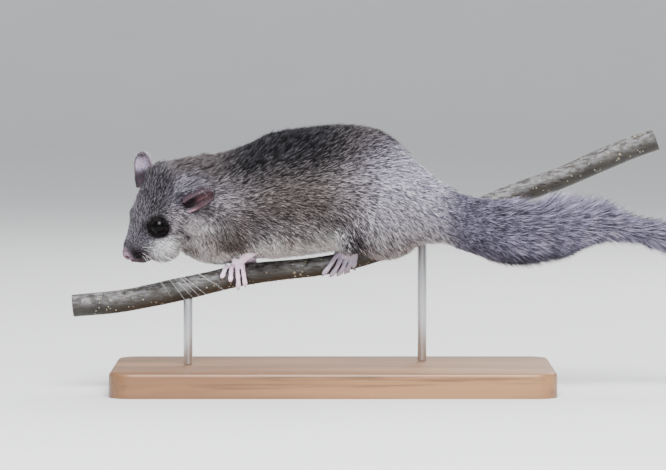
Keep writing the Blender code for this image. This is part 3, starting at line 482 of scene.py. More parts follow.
FLESH_NODES = (
    "head", "neck", "torso_front", "torso_hind", "foreleg_left", "foreleg_right", "hindleg_left",
    "hindleg_right",
)
SWELL = 0.24
SKIN_VOXEL = 0.62
SKIN_SMOOTHING = 10
BODY_SMOOTHING = 30
# Distance behind the nose against the depth of the coat there.
FACE_COAT = ((0.0, 0.1), (5.0, 0.25), (12.0, 0.4), (20.0, 0.65), (30.0, 0.95), (40.0, 1.2), (50.0, 1.4))
BODY_COAT = 1.4
TAIL_COAT = 0.3
LIMB_COAT_SHARE = 0.17
LEAST_COAT = 0.35
# Where the skin is fuller or thinner than elsewhere: middle, half sizes and how much. It is fuller on the
# nape, before the right ear and on the belly behind the hand, and thinner on the chest over the hand.
SKIN_FILLS = (
    ((-51, -4, 92), (14, 16, 9), 0.8), ((-54.5, -2.5, 92), (6.5, 12, 7), 1.3),
    ((-71, -6.5, 87.5), (7.5, 9, 6.5), 1.4), ((-38, -8, 52), (8, 8, 5), -1.3),
    ((-21, -9, 54), (11, 9, 5), 0.9),
)
NOSE_TIP = np.array((-84.2, -12.4, 55.4))
HEAD_PITCH = math.radians(37)
HEAD_YAW = math.radians(14.8)
HEAD_ROLL = math.radians(17.5)
EYE_BACK = 17.3
EYE_OUT = 9.5
EYE_UP = 3.9
EYE_RADIUS = 3.7
EYE_LOOK = (0.42, 0.86, 0.30)
NOSE_MIDDLE = (2.8, 0.0, -2.3)
# Each limb: points from the body outwards with the radius at each.
LIMBS = {
    "foreleg_left": (
        (-42, -11.5, 71, 8.4), (-36, -13.5, 64.5, 7.6), (-23, -12, 59.6, 5.4), (-28, -8, 56.6, 3.9),
        (-34, -4.4, 54.4, 2.7),
    ),
    "foreleg_right": (
        (-41, 11.5, 71, 8.4), (-34, 13, 64.5, 7.4), (-20.5, 11, 60.4, 5.2), (-25, 7.6, 58, 3.9),
        (-30, 4.4, 56, 2.7),
    ),
    "hindleg_left": (
        (14, -14, 65, 8), (6.5, -12.5, 61, 6.6), (8.6, -8.6, 59.6, 4.6), (10.8, -5.8, 58.4, 3.2),
    ),
    "hindleg_right": ((16, 9, 73, 8), (9, 13, 67.5, 6.2), (11, 12.2, 64.6, 4.6), (13.2, 10.6, 62.4, 3.2)),
}
# The trunk out to the tips of the fur: X, Y of the middle, Z of the back and of the belly, half width.
TRUNK = (
    (-61, -1, 89, 55.6, 12.5), (-52, -0.5, 92.4, 51.3, 15.5), (-43, 0, 95, 50.6, 17.2),
    (-33, 0, 98.8, 51.8, 18.6), (-25, 0, 102.6, 53.2, 19.6), (-13, 0, 104.6, 54, 20.4),
    (0.5, -0.6, 106, 56, 21), (10, -2, 105.6, 57.4, 21), (18, -3.6, 104, 57.4, 20.2),
    (26, -5.2, 98.8, 57.8, 18.6), (34, -6.8, 90.6, 58.6, 16), (42, -8, 84, 59.4, 13.2),
    (50.5, -9, 79.2, 58.2, 10.8),
)
# The tail out to the tips of its hair: X, Y of the middle, Z of the top and underside, half width.
TAIL = (
    (44, -9, 81, 59.5, 10.2), (50, -9.2, 78.6, 57.4, 10.6), (58.8, -9.5, 77, 53.4, 11.6),
    (66.8, -9, 77.2, 49.8, 12.6), (74.8, -8, 76.8, 48.2, 13.2), (82.8, -7, 77.2, 49.6, 13.2),
    (90.8, -6, 77, 51.6, 13), (98.8, -5, 76.2, 55.4, 12.6), (106.8, -4, 74.6, 58, 12.2),
    (114.8, -3, 71, 59, 11.8), (122.8, -2, 67, 59.8, 11.4), (133, -1, 63.2, 57, 11),
    (145, 0, 60.2, 53.8, 10), (156, 1, 58, 52.6, 8), (164, 1.5, 56.4, 52.6, 5.2), (168.5, 2, 55, 53.4, 2),
)
# X against the skin's share of the tail's half size there: the rump narrows into the tail's root.
TAIL_CORE = ((44.0, 0.98), (50.0, 0.98), (56.0, 0.88), (64.0, 0.66), (76.0, 0.45), (160.0, 0.34))
TAIL_SKIN_END_X = 160.0


def head_axes():
    """The head's forward, left and up directions."""
    level = math.cos(HEAD_PITCH)
    forward = Vector((-level * math.cos(HEAD_YAW), -level * math.sin(HEAD_YAW), -math.sin(HEAD_PITCH)))
    level_left = Vector((math.sin(HEAD_YAW), -math.cos(HEAD_YAW), 0.0))
    level_up = forward.cross(level_left)
    left = level_left * math.cos(HEAD_ROLL) - level_up * math.sin(HEAD_ROLL)
    up = level_up * math.cos(HEAD_ROLL) + level_left * math.sin(HEAD_ROLL)
    return np.array(forward), np.array(left), np.array(up)


FORWARD, LEFT, UP = head_axes()


def head_point(back, out, up):
    """A point given as its distance behind the nose tip, out to the animal's left, and up."""
    return NOSE_TIP - FORWARD * back + LEFT * out + UP * up


def head_places(points):
    """Points as distance behind the nose tip, out to the animal's left, and up."""
    offset = points - NOSE_TIP
    return -offset @ FORWARD, offset @ LEFT, offset @ UP


def eye_centre(side):
    return head_point(EYE_BACK, EYE_OUT * side, EYE_UP)


def eye_look(side):
    ahead, out, up = EYE_LOOK
    look = FORWARD * ahead + LEFT * (out * side) + UP * up
    return look / np.linalg.norm(look)


def nearest_on(points, line):
    """For each point: how far along the line its nearest place is, from 0 to 1, and that place's row."""
    lengths = np.r_[0, np.cumsum(np.linalg.norm(np.diff(line[:, :3], axis=0), axis=1))]
    best = np.full(len(points), np.inf)
    share = np.zeros(len(points))
    for index, (start, end) in enumerate(zip(line[:-1, :3], line[1:, :3])):
        way = end - start
        t = ((points - start) @ way / (way @ way)).clip(0, 1)
        distance = np.linalg.norm(points - start - t[:, None] * way, axis=1)
        closer = distance < best
        best[closer] = distance[closer]
        share[closer] = (lengths[index] + t[closer] * (lengths[index + 1] - lengths[index])) / lengths[-1]
    rows = np.stack([np.interp(share, lengths / lengths[-1], column) for column in line.T], axis=1)
    return share, rows, best


limb_lines = {name: smooth_rows(rows, 4) for name, rows in LIMBS.items()}
trunk_line = smooth_rows(TRUNK, 4)
tail_line = smooth_rows(TAIL, 4)
tail_middle = np.stack([tail_line[:, 0], tail_line[:, 1], (tail_line[:, 2] + tail_line[:, 3]) / 2], axis=1)


def on_limb(points, name):
    """How far down a limb each point is, and how surely it belongs to that limb, both from 0 to 1."""
    share, rows, distance = nearest_on(points, limb_lines[name])
    return share, rows[:, 3], 1 - soft_step(distance, rows[:, 3] * 0.95, rows[:, 3] * 1.35)


def coat_depth(points):
    """How deep the coat is at each point, from the skin out to the tips."""
    back, _, _ = head_places(points)
    depth = np.where(points[:, 0] < -40, np.interp(back, *zip(*FACE_COAT)), BODY_COAT)
    for name in LIMBS:
        share, radius, belongs = on_limb(points, name)
        limb_depth = (radius * LIMB_COAT_SHARE).clip(LEAST_COAT, BODY_COAT)
        depth += (limb_depth - depth) * belongs * soft_step(share, 0.15, 0.6)
    return depth


def skin_source():
    """The flesh solids in one mesh of overlapping closed forms, with plugs in eye sockets and nose."""
    bm = bmesh.new()
    for name in FLESH_NODES:
        part = bmesh.new()
        part.from_mesh(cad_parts[name].data)
        bmesh.ops.remove_doubles(part, verts=part.verts[:], dist=1e-6)
        bmesh.ops.recalc_face_normals(part, faces=part.faces[:])
        for vertex in part.verts:
            vertex.co += vertex.normal * (SWELL * MM)
        swollen = bpy.data.meshes.new("swollen")
        part.to_mesh(swollen)
        part.free()
        bm.from_mesh(swollen)
        bpy.data.meshes.remove(swollen)
    for side in (1, -1):
        made = bmesh.ops.create_icosphere(bm, subdivisions=4, radius=(EYE_RADIUS + 0.5) * MM)
        bmesh.ops.translate(bm, vec=Vector(eye_centre(side)) * MM, verts=made["verts"])
    made = bmesh.ops.create_icosphere(bm, subdivisions=3, radius=2.0 * MM)
    bmesh.ops.translate(bm, vec=Vector(head_point(2.6, 0.0, -0.8)) * MM, verts=made["verts"])
    return mesh_of(bm, "skin_source")


def tail_core_rows():
    half = (tail_line[:, 2] - tail_line[:, 3]) / 2 * np.interp(tail_line[:, 0], *zip(*TAIL_CORE))
    rows = np.column_stack([tail_middle, half])
    return rows[rows[:, 0] <= TAIL_SKIN_END_X]


def evaluated(obj):
    """Applies an object's modifiers."""
    graph = bpy.context.evaluated_depsgraph_get()
    mesh = bpy.data.meshes.new_from_object(obj.evaluated_get(graph))
    obj.modifiers.clear()
    obj.data = mesh


def joined(name, *meshes):
    bm = bmesh.new()
    for one in meshes:
        bm.from_mesh(one)
    return mesh_of(bm, name)


def normals_of(mesh):
    found = np.empty(len(mesh.vertices) * 3)
    mesh.vertices.foreach_get("normal", found)
    return found.reshape(-1, 3)


def fuse(obj, voxel):
    """Makes one closed skin of the overlapping forms in an object's mesh."""
    remesh = obj.modifiers.new("remesh", "REMESH")
    remesh.mode = "VOXEL"
    remesh.voxel_size = voxel * MM


def settle(obj, iterations, group=""):
    """Smooths an object's mesh, or the part of it that a vertex group holds."""
    smoothing = obj.modifiers.new("settle", "SMOOTH")
    smoothing.factor = 0.5
    smoothing.iterations = iterations
    smoothing.vertex_group = group


skin = new_object("skin", joined("skin", skin_source(), tube_mesh("tail_core", tail_core_rows(), 6)))
fuse(skin, SKIN_VOXEL)
evaluated(skin)
face_back, _, _ = head_places(points_of(skin.data))
away = soft_step(face_back, 24, 42)
group = skin.vertex_groups.new(name="body")
for level in range(1, 11):
    chosen = np.flatnonzero(np.ceil(away * 10) == level)
    group.add(chosen.tolist(), level / 10, "REPLACE")
settle(skin, SKIN_SMOOTHING)
settle(skin, BODY_SMOOTHING, "body")
evaluated(skin)

skin_points = points_of(skin.data)
inset = coat_depth(skin_points)
in_tail = soft_step(skin_points[:, 0], 40, 56)
inset += (TAIL_COAT - inset) * in_tail
for fill_middle, fill_sizes, fill in SKIN_FILLS:
    fill_gap = np.linalg.norm((skin_points - fill_middle) / fill_sizes, axis=1)
    inset -= fill * (1 - soft_step(fill_gap, 0.2, 1.0))
for _ in range(3):
    skin_points = points_of(skin.data)
    move_points(skin.data, skin_points - normals_of(skin.data) * (inset / 3)[:, None])
settle(skin, 3)
evaluated(skin)

# The mouth line: back, out and up of points of its left half, from the lip's middle to the corner.
MOUTH = ((2.0, 0.0, -5.0), (3.6, 1.9, -5.6), (6.4, 3.8, -6.2), (9.6, 5.4, -6.0), (11.6, 6.6, -5.2))
FACE_REACH = 20.0
LIP_LINE_WIDTH = 0.36
LIP_LINE_DEPTH = 0.75
LIP_ROLL = 0.35
LIP_ROLL_PLACE = 0.85


def refine_face(mesh):
    """Halves the skin's faces round the muzzle and the eyes, where its folds are fine."""
    bm = bmesh.new()
    bm.from_mesh(mesh)
    centre = Vector(head_point(8.0, 0.0, 0.0)) * MM
    edges = [
        edge for edge in bm.edges if all((v.co - centre).length < FACE_REACH * MM for v in edge.verts)
    ]
    bmesh.ops.subdivide_edges(bm, edges=edges, cuts=1, use_grid_fill=True)
    bmesh.ops.triangulate(bm, faces=[face for face in bm.faces if len(face.verts) > 4])
    bm.to_mesh(mesh)
    bm.free()


def shape_mouth(mesh):
    """Presses the line of the mouth into the muzzle and rolls the lips on either side of it."""
    points = points_of(mesh)
    normals = normals_of(mesh)
    back, out, up = head_places(points)
    line = smooth_rows(MOUTH, 6)
    line_up = np.interp(np.abs(out), line[:, 1], line[:, 2])
    line_back = np.interp(np.abs(out), line[:, 1], line[:, 0])
    off = up - line_up
    near = 1 - soft_step(np.abs(back - line_back), 1.6, 3.4)
    near *= 1 - soft_step(np.abs(out), 6.0, 7.0)
    groove = np.exp(-((off / LIP_LINE_WIDTH) ** 2)) * near
    roll = np.exp(-(((np.abs(off) - LIP_ROLL_PLACE) / 0.5) ** 2)) * near
    move = roll * LIP_ROLL - groove * LIP_LINE_DEPTH
    move_points(mesh, points + normals * move[:, None])
    return groove, roll


refine_face(skin.data)
lip_groove, lip_roll = shape_mouth(skin.data)
skin.data.shade_smooth()

# The markings
# Skin and hair share these colours: charcoal along the back, brown-grey flanks, a silver rump, a blue-grey
# tail, white from the cheeks to the belly and inner thighs, and a narrow dark ring round each eye.

FLANK = (98, 91, 90)
BACK = (17, 16, 19)
LOW_FLANK = (134, 127, 127)
RUMP = (210, 204, 226)
HAUNCH = (184, 177, 188)
WHITE = (242, 237, 236)
CREAM = (196, 184, 174)
TAIL_GREY = (134, 129, 149)
TAIL_ROOT = (108, 104, 120)
CROWN = (95, 91, 96)
CROWN_SIDE = (147, 143, 153)
FOREHEAD = (50, 47, 51)
MUZZLE = (110, 106, 113)
FACE_SIDE = (170, 161, 167)
MUZZLE_SIDE = (132, 127, 136)
CHEEK = (158, 151, 154)
CHEEK_WHITE = (255, 252, 255)
EAR_BELOW = (250, 242, 247)
PAD_GREY = (134, 125, 132)
LIP_GREY = (66, 58, 62)
CREASE_SHADE = (44, 37, 38)
EYE_RING = (16, 13, 15)
NOSE_SIDE = (24, 16, 21)
EAR_BASE_SHADE = (50, 44, 54)
# Patches of the trunk and legs: middle (X, distance out from the midline, Z), half sizes, colour, strength.
BODY_PATCHES = (
    ((32, 6, 81), (29, 27, 23), RUMP, 0.9), ((25, 10, 68), (18, 22, 15), HAUNCH, 0.85),
    ((5, 14, 80), (12, 16, 12), (152, 146, 151), 0.7), ((-47, 17, 77), (11, 10, 9), (150, 144, 149), 0.85),
    ((-37, 18, 79), (9, 9, 8), (120, 113, 116), 0.6), ((-57, 14, 81), (8, 9, 7), (142, 137, 150), 0.75),
    ((-54, 18, 68), (8, 9, 6.5), (166, 158, 159), 0.8), ((-52, 12, 55), (8, 12, 5), CREAM, 0.8),
    # The second patch of the next line, dark on the side of the chest under the shoulder, is painted shade.
    ((-50, 16, 61), (6.5, 12, 5), (122, 114, 114), 0.8), ((-41, 15, 61), (8, 12, 6), (78, 71, 68), 0.65),
    ((-43, 10, 52.6), (7, 12, 4), (255, 248, 246), 0.9),
    ((-27.5, 12, 57), (7, 12, 5.4), (255, 250, 250), 0.9), ((-29, 16, 66), (6, 8, 6), (94, 88, 90), 0.5),
    ((-3.5, 13, 58.5), (8.5, 12, 6.5), (255, 252, 252), 1),
    # The first patch of the next line is dark hair with painted shade between the thigh and the haunch.
    ((8, 14, 59), (5.2, 16, 9.5), (30, 27, 31), 0.92), ((23, 18, 59), (13, 12, 6), (134, 127, 130), 0.6),
    ((-13, 24, 78), (24, 14, 10), (100, 92, 88), 0.5),
)
# Patches of the head, the same way, in distance behind the nose, distance out, and up.
HEAD_PATCHES = (
    ((33, 12.5, 13), (8.5, 7, 7), CROWN_SIDE, 0.85), ((25, 4, 14.5), (9.5, 8.5, 8), FOREHEAD, 0.95),
    ((24.5, 13.5, 4), (6.5, 6, 5), FACE_SIDE, 0.85), ((6, 2, 4), (6, 5, 4), MUZZLE, 0.8),
    ((9, 7, 1.5), (4.5, 4, 3), MUZZLE_SIDE, 0.8), ((21, 13, -1.5), (7, 7, 6), CHEEK, 0.85),
    # The second patch of the next line, grey behind the white cheek at the throat, is painted shade.
    ((28.5, 15.5, -4.5), (6.5, 6, 7), EAR_BELOW, 0.9), ((22, 7.5, -14), (5, 7, 4.6), (140, 132, 130), 0.75),
    ((31, 14, -11), (5.5, 7, 5), (166, 156, 154), 0.85),
    ((13.5, 11.5, -3.6), (7, 7.5, 5.2), CHEEK_WHITE, 1), ((7.6, 7, -4.2), (3.6, 3.6, 2.6), PAD_GREY, 0.85),
    ((5.5, 3, -8), (5, 5, 3), LIP_GREY, 0.9), ((5, 4.9, -2.2), (2.8, 2.8, 2.8), NOSE_SIDE, 0.95),
    # The next patch is dark hair round each ear's root, partly painted shade of its opening.
    ((29.4, 14, 9.2), (3.6, 4, 3), EAR_BASE_SHADE, 0.7),
)
# The crease behind the cheek, painted as a thin dark line of shade: back, out and up of its points.
CHEEK_CREASE = (
    (22.4, 13.6, 0.2), (22.8, 13.2, -3.1), (23.6, 12.8, -6), (22.8, 12.2, -8.6), (20.2, 11.2, -9.2),
)
CREASE_WIDTH = 0.75
EYE_RING_INNER = 4.35
EYE_RING_OUTER = 5.5


def toward(colour, other, share):
    return colour + (np.array(other, float) - colour) * share[:, None]


def patched(colour, places, patches):
    """Blends soft-edged patches of other colours in."""
    for middle, sizes, other, strength in patches:
        away = np.sqrt(sum(((place - at) / size) ** 2 for place, at, size in zip(places, middle, sizes)))
        colour = toward(colour, other, strength * (1 - soft_step(away, 0.45, 1.25)))
    return colour


def coat_colour(points):
    """The coat's colour at each point, in screen levels from 0 to 255."""
    x, y, z = points.T
    middle, top, bottom, _ = (np.interp(x, trunk_line[:, 0], trunk_line[:, k]) for k in (1, 2, 3, 4))
    height = (z - bottom) / (top - bottom) + 0.014 * wander(points, 9.0, 21)
    out = np.abs(y - middle)
    colour = np.tile(np.array(FLANK, float), (len(points), 1))
    saddle = soft_step(x, -52, -34) * (1 - 0.78 * soft_step(x, -10, 14))
    colour = toward(colour, BACK, soft_step(height, 0.50, 0.82) * (0.2 + 0.8 * saddle))
    colour = toward(colour, LOW_FLANK, 1 - soft_step(height, 0.2, 0.42))
    colour = patched(colour, (x, out, z), BODY_PATCHES[:3])
    white = (1 - soft_step(height, 0.10, 0.20)) * (1 - 0.55 * soft_step(x, 6, 16) * soft_step(out, 2, 6))
    colour = toward(colour, WHITE, white)
    colour = patched(colour, (x, out, z), BODY_PATCHES[3:])
    back, side, up = head_places(points)
    head = np.tile(np.array(CROWN, float), (len(points), 1))
    head = toward(head, CHEEK_WHITE, 1 - soft_step(up, -9.0, -4.5))
    head = patched(head, (back, np.abs(side), up), HEAD_PATCHES)
    crease = smooth_rows([(*head_point(back, out, up), 0.0) for back, out, up in CHEEK_CREASE], 3)
    _, _, off_crease = nearest_on(points, crease)
    head = toward(head, CREASE_SHADE, 0.95 * (1 - soft_step(off_crease, CREASE_WIDTH * 0.4, CREASE_WIDTH * 1.6)))
    for eye_side in (1, -1):
        away = np.linalg.norm(points - eye_centre(eye_side), axis=1)
        head = toward(head, EYE_RING, 1 - soft_step(away, EYE_RING_INNER, EYE_RING_OUTER))
    head_share = (1 - soft_step(back + 0.6 * (-8 - up).clip(0), 29, 40)) * (x < -40)
    colour += (head - colour) * head_share[:, None]
    for name in LIMBS:
        share, _, belongs = on_limb(points, name)
        fore = name.startswith("foreleg")
        end_colour = (250, 236, 246) if fore else (62, 57, 62)
        start = 0.62 if fore else 0.6
        colour = toward(colour, end_colour, belongs * soft_step(share, start, start + 0.16) * 0.9)
    colour = toward(colour, TAIL_GREY, soft_step(x, 35, 55))
    return toward(colour, TAIL_ROOT, 0.8 * soft_step(x, 42, 52) * (1 - soft_step(x, 54, 76)))


def paint(mesh, levels):
    """Keeps a colour for each vertex as the attribute that the finishes read."""
    share = (levels / 255).clip(0, 1)
    numbers = np.ones((len(levels), 4))
    numbers[:, :3] = np.where(share <= 0.04045, share / 12.92, ((share + 0.055) / 1.055) ** 2.4)
    attribute = mesh.color_attributes.new("marking", "FLOAT_COLOR", "POINT")
    attribute.data.foreach_set("color", numbers.ravel())


# The skin takes the coat's colours darkened, as painted shade under the hair.
UNDERCOAT_SHADE_SHARE = 0.55
# The middle of each ear's opening, where the skin is bare and painted dark as the shade inside it.
EAR_HOLLOWS = (head_point(31.4, 15.6, 7.8), head_point(26.4, -12.6, 13.0))
NOSE_PINK = (121, 103, 117)
skin_levels = coat_colour(points_of(skin.data)) * UNDERCOAT_SHADE_SHARE
skin_back, _, skin_up = head_places(points_of(skin.data))
pinkness = (1 - soft_step(skin_back, 2.0, 3.6)) * soft_step(skin_up, -5.4, -4.0)
skin_levels = toward(skin_levels, NOSE_PINK, pinkness)
# The line of the mouth is painted dark, as shade in its groove.
mouth_line_shade = (lip_groove * 0.6).clip(0, 1)
skin_levels = toward(skin_levels, (52, 34, 40), mouth_line_shade)
skin_levels = toward(skin_levels, (150, 120, 130), (lip_roll * (1 - mouth_line_shade) * 0.7).clip(0, 1))
# Painted shade on the skin in each ear's opening.
for hollow in EAR_HOLLOWS:
    hollow_gap = np.linalg.norm(points_of(skin.data) - hollow, axis=1)
    skin_levels = toward(skin_levels, (34, 26, 30), 1 - soft_step(hollow_gap, 2.4, 4.4))
paint(skin.data, skin_levels)

undercoat = Finish("undercoat", roughness=0.95, specular_ior_level=0.02)
marking = undercoat.marking()
fuzz = undercoat.noise(1500.0, 4.0, (0.3, 1.0, 0.8))
undercoat.set("base color", undercoat.mix(fuzz.between(0.35, 0.65) * 0.5, marking, (0.02, 0.018, 0.018)))
undercoat.relief(fuzz, 0.0006)
skin.data.materials.append(undercoat.material)
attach(skin, "root")
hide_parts(*FLESH_NODES, "tail_base", "tail_middle", "tail_tip")

# The coat
# Hair in fine tapered tufts over the whole skin, each sunk in it at its root. It runs back from the nose,
# up over the shoulders to the arch of the back, down and back over the haunch, and out along the tail.

# The lie seen from the left side: X, Z, and degrees up from the way to the tail.
LIE = (
    (-80, 60, 42), (-76, 70, 55), (-70, 80, 46), (-60, 87, 18), (-51, 90, 14), (-76, 58, 10), (-70, 62, -6),
    (-66, 64, -14), (-66, 55, -36), (-55, 67, -36), (-45, 76, -6), (-43, 88, 28), (-29, 95, 34),
    (-13, 98, 32), (5, 100, 22), (17, 97, 8), (-29, 80, 14), (-13, 82, 14), (-25, 70, -14), (-13, 70, -12),
    (0, 80, 5), (0, 70, -28), (-9, 60, -42), (-25, 59, -44), (-43, 64, -42), (-51, 59, -62), (-58, 53, -64),
    (-37, 55, -56), (15, 80, -12), (27, 82, -24), (39, 77, -30), (19, 70, -40), (7, 66, -42), (15, 60, -58),
    (27, 62, -54), (35, 66, -47), (45, 70, -30),
)
LIE_REACH = 3.0
HEAD_TURN = 0.26


def lie_of(points, normals):
    """The way that the hair runs at each point, along the skin."""
    found = np.zeros((len(points), 3))
    total = np.zeros(len(points))
    for x, z, degrees in LIE:
        weight = 1 / ((points[:, 0] - x) ** 2 + (points[:, 2] - z) ** 2 + LIE_REACH**2) ** 2
        angle = math.radians(degrees)
        found += weight[:, None] * np.array((math.cos(angle), 0.0, math.sin(angle)))
        total += weight
    found /= total[:, None]
    back, _, _ = head_places(points)
    on_head = (1 - soft_step(back, 26, 44)) * (points[:, 0] < -40)
    found[:, 1] += HEAD_TURN * on_head
    for name in LIMBS:
        line = limb_lines[name]
        share, _, belongs = on_limb(points, name)
        before, after = ((share + step).clip(0, 1) for step in (-0.08, 0.08))
        places = np.linspace(0, 1, len(line))
        steps = [np.interp(after, places, c) - np.interp(before, places, c) for c in line.T[:3]]
        down = np.stack(steps, axis=1)
        down /= np.linalg.norm(down, axis=1)[:, None].clip(1e-6)
        found += (down - found) * (belongs * soft_step(share, 0.4, 0.8))[:, None]
    found = toward(found, (1.0, 0.0, -0.12), soft_step(points[:, 0], 42, 56))
    found -= normals * (found * normals).sum(axis=1)[:, None]
    return found / np.linalg.norm(found, axis=1)[:, None].clip(1e-6)


class Surface:
    """A mesh's triangles as arrays in millimetres, for hair to be rooted on."""

    def __init__(self, mesh):
        mesh.calc_loop_triangles()
        corner = np.empty(len(mesh.loop_triangles) * 3, int)
        mesh.loop_triangles.foreach_get("vertices", corner)
        self.corner = corner.reshape(-1, 3)
        self.points = points_of(mesh)
        self.normals = normals_of(mesh)
        self.middle = self.points[self.corner].mean(axis=1)
        sides = self.points[self.corner[:, 1:]] - self.points[self.corner[:, :1]]
        self.area = np.linalg.norm(np.cross(sides[:, 0], sides[:, 1]), axis=1) / 2

    def roots(self, chosen, count, draw):
        """Evenly drawn places on the chosen triangles, with the surface's normal at each."""
        share = self.area * chosen
        picked = np.searchsorted(np.cumsum(share) / share.sum(), draw.random(count)).clip(0, len(share) - 1)
        first, second = draw.random((2, count))
        flip = first + second > 1
        first[flip] = 1 - first[flip]
        second[flip] = 1 - second[flip]
        parts = np.stack([1 - first - second, first, second], axis=1)[:, :, None]
        points = (self.points[self.corner[picked]] * parts).sum(axis=1)
        normals = (self.normals[self.corner[picked]] * parts).sum(axis=1)
        return points, normals / np.linalg.norm(normals, axis=1)[:, None]


skin_surface = Surface(skin.data)
triangle_middle = skin_surface.middle


def unwrap(points, line):
    """Places on the unrolled skin: the way along the line, and the turn round it, each from 0 to 1."""
    share, rows, _ = nearest_on(points, line)
    places = np.linspace(0, 1, len(line))
    ahead = np.stack([np.interp(share + 0.02, places, c) for c in line.T[:3]], axis=1)
    behind = np.stack([np.interp(share - 0.02, places, c) for c in line.T[:3]], axis=1)
    along = ahead - behind
    along /= np.linalg.norm(along, axis=1)[:, None].clip(1e-6)
    up = np.array((0.0, 0.0, 1.0)) - along * along[:, 2:3]
    side = np.cross(along, up)
    off = points - rows[:, :3]
    turn = np.arctan2((off * side).sum(axis=1), -(off * up).sum(axis=1))
    spread = []
    for value in (share, turn):
        spread.append((value - value.min()) / np.ptp(value))
    return np.stack(spread, axis=1) * 0.99 + 0.004


PATCH_SIZE = 0.003
ROOT_SUNK = 0.35
TUFT_CORNERS = tuple(math.pi * (0.5 + corner * 2 / 3) for corner in range(3))
TUFT_FLATNESS = 0.7


def tufts_mesh(name, roots, normals, lie, length, width, lift, curl, levels, places, widest=0.42):
    """Closed three-sided tufts, each a point at the root, a ring of three and a point at the tip."""
    count = len(roots)
    across = np.cross(lie, normals)
    across /= np.linalg.norm(across, axis=1)[:, None]
    rows = []
    for t, tone in zip((0.0, widest, 1.0), levels.transpose(1, 0, 2)):
        slope = lift + curl * (0.5 - t)
        way = lie * np.cos(slope)[:, None] + normals * np.sin(slope)[:, None]
        rows.append((roots - normals * ROOT_SUNK * (1 - t) + way * (length * t)[:, None], tone))
    points = [rows[0][0]]
    for angle in TUFT_CORNERS:
        aside = across * (width / 2 * math.cos(angle))[:, None]
        points.append(rows[1][0] + aside + normals * (width * TUFT_FLATNESS / 2 * math.sin(angle))[:, None])
    points.append(rows[2][0])
    colours = [rows[0][1], rows[1][1], rows[1][1], rows[1][1], rows[2][1]]
    faces = [(0, 1 + (k + 1) % 3, 1 + k) for k in range(3)] + [(4, 1 + k, 1 + (k + 1) % 3) for k in range(3)]
    spots = []
    for start in (0.0, 1.0):
        for k in range(3):
            sides = (k / 3, (k + 1) / 3) if start else ((k + 1) / 3, k / 3)
            spots.append([((k + 0.5) / 3, start)] + [(side, widest) for side in sides])
    triangles = (np.array(faces)[None] + (np.arange(count) * 5)[:, None, None]).reshape(-1, 3)
    mesh = bpy.data.meshes.new(name)
    mesh.vertices.add(count * 5)
    mesh.vertices.foreach_set("co", (np.stack(points, axis=1) * MM).ravel())
    mesh.loops.add(triangles.size)
    mesh.loops.foreach_set("vertex_index", triangles.ravel().astype(np.int32))
    mesh.polygons.add(len(triangles))
    mesh.polygons.foreach_set("loop_start", np.arange(0, triangles.size, 3, dtype=np.int32))
    mesh.update(calc_edges=True)
    layer = mesh.uv_layers.new(name="OFBake")
    where = places[:, None, None, :] + np.array(spots)[None] * PATCH_SIZE
    layer.uv.foreach_set("vector", where.astype(np.float32).ravel())
    paint(mesh, np.stack(colours, axis=1).reshape(-1, 3))
    mesh.shade_smooth()
    return mesh


hair = Finish("hair", roughness=0.7, specular_ior_level=0.06)
hair_marking = hair.marking()
hair_grain = hair.noise(2200.0, 2.0)
hair.set("base color", hair.mix(hair_grain.between(0.3, 0.7) * 0.25, hair_marking, (0.03, 0.027, 0.027)))
hair.relief(hair_grain, 0.0001)

head_line = np.array([head_point(back, 0.0, 0.0) for back in (0.0, 10.0, 20.0, 30.0, 42.0)])
head_line = np.vstack([head_line, [(-46.0, 0.0, 73.0), (-40.0, 0.0, 74.0)]])
spine_line = np.array([(row[0], row[1], (row[2] + row[3]) / 2) for row in TRUNK])
spine_line = np.vstack([[(-72.0, -4.0, 70.0)], spine_line])
triangle_back, _, _ = head_places(triangle_middle)
triangle_x, triangle_y, _ = triangle_middle.T
body_middle = np.interp(triangle_x, trunk_line[:, 0], trunk_line[:, 1])
is_tail = triangle_x > 58
is_head = (triangle_back < 33) & (triangle_x < -48) & ~is_tail
is_leg = np.zeros(len(triangle_middle), bool)
for limb_name in LIMBS:
    limb_share, _, limb_belongs = on_limb(triangle_middle, limb_name)
    is_leg |= (limb_share > 0.45) & (limb_belongs > 0.3)
is_leg &= ~is_head & ~is_tail
is_body = ~(is_head | is_leg) & (triangle_x < 58)
is_left = triangle_y < body_middle
is_front = triangle_x < -40
is_back = triangle_x >= 4
is_flank = ~is_front & ~is_back
# Share of tufts that are dark, and how dark; and share that are pale, and how pale.
DARK_HAIRS = (0.36, 0.34)
PALE_HAIRS = (0.32, 1.6)
SILVER_SHARE = 0.22
SILVER_TIPS = 74.0
# How far off, in millimetres, a tuft may take its colour from: on the head, and more on the body.
COLOUR_STRAY = (0.25, 1.9)
# Each length of coat: its name, the skin it grows from, its tufts, the line it is unrolled round, and how
# wide its tufts are.
COATS = (
    ("coat_head", is_head, 32500, head_line, 0.28),
    ("coat_neck", is_body & is_front, 26000, head_line, 0.3),
    ("coat_flank_left", is_body & is_flank & is_left, 32500, spine_line, 0.31),
    ("coat_flank_right", is_body & is_flank & ~is_left, 21000, spine_line, 0.42),
    ("coat_rump_left", is_body & is_back & is_left, 33000, spine_line, 0.31),
    ("coat_rump_right", is_body & is_back & ~is_left, 21000, spine_line, 0.42),
    ("coat_legs", is_leg, 12000, spine_line, 0.32),
)
COAT_SEED = 100
LENGTH_SHARE = 2.1
LENGTH_LEAST = 0.85
LIFT = math.radians(29)
LIFT_SPREAD = math.radians(8)
CURL = math.radians(17)
EYE_CLEARANCE = 0.75
NOSE_CLEARANCE = (3.2, 3.1, 3.1)
EAR_CLEARANCE = 3.1
# The middles of the hands, where the hair hanging over them is short.
HANDS = ((-36.5, -4.5, 53.0), (-32.5, 4.0, 54.0))


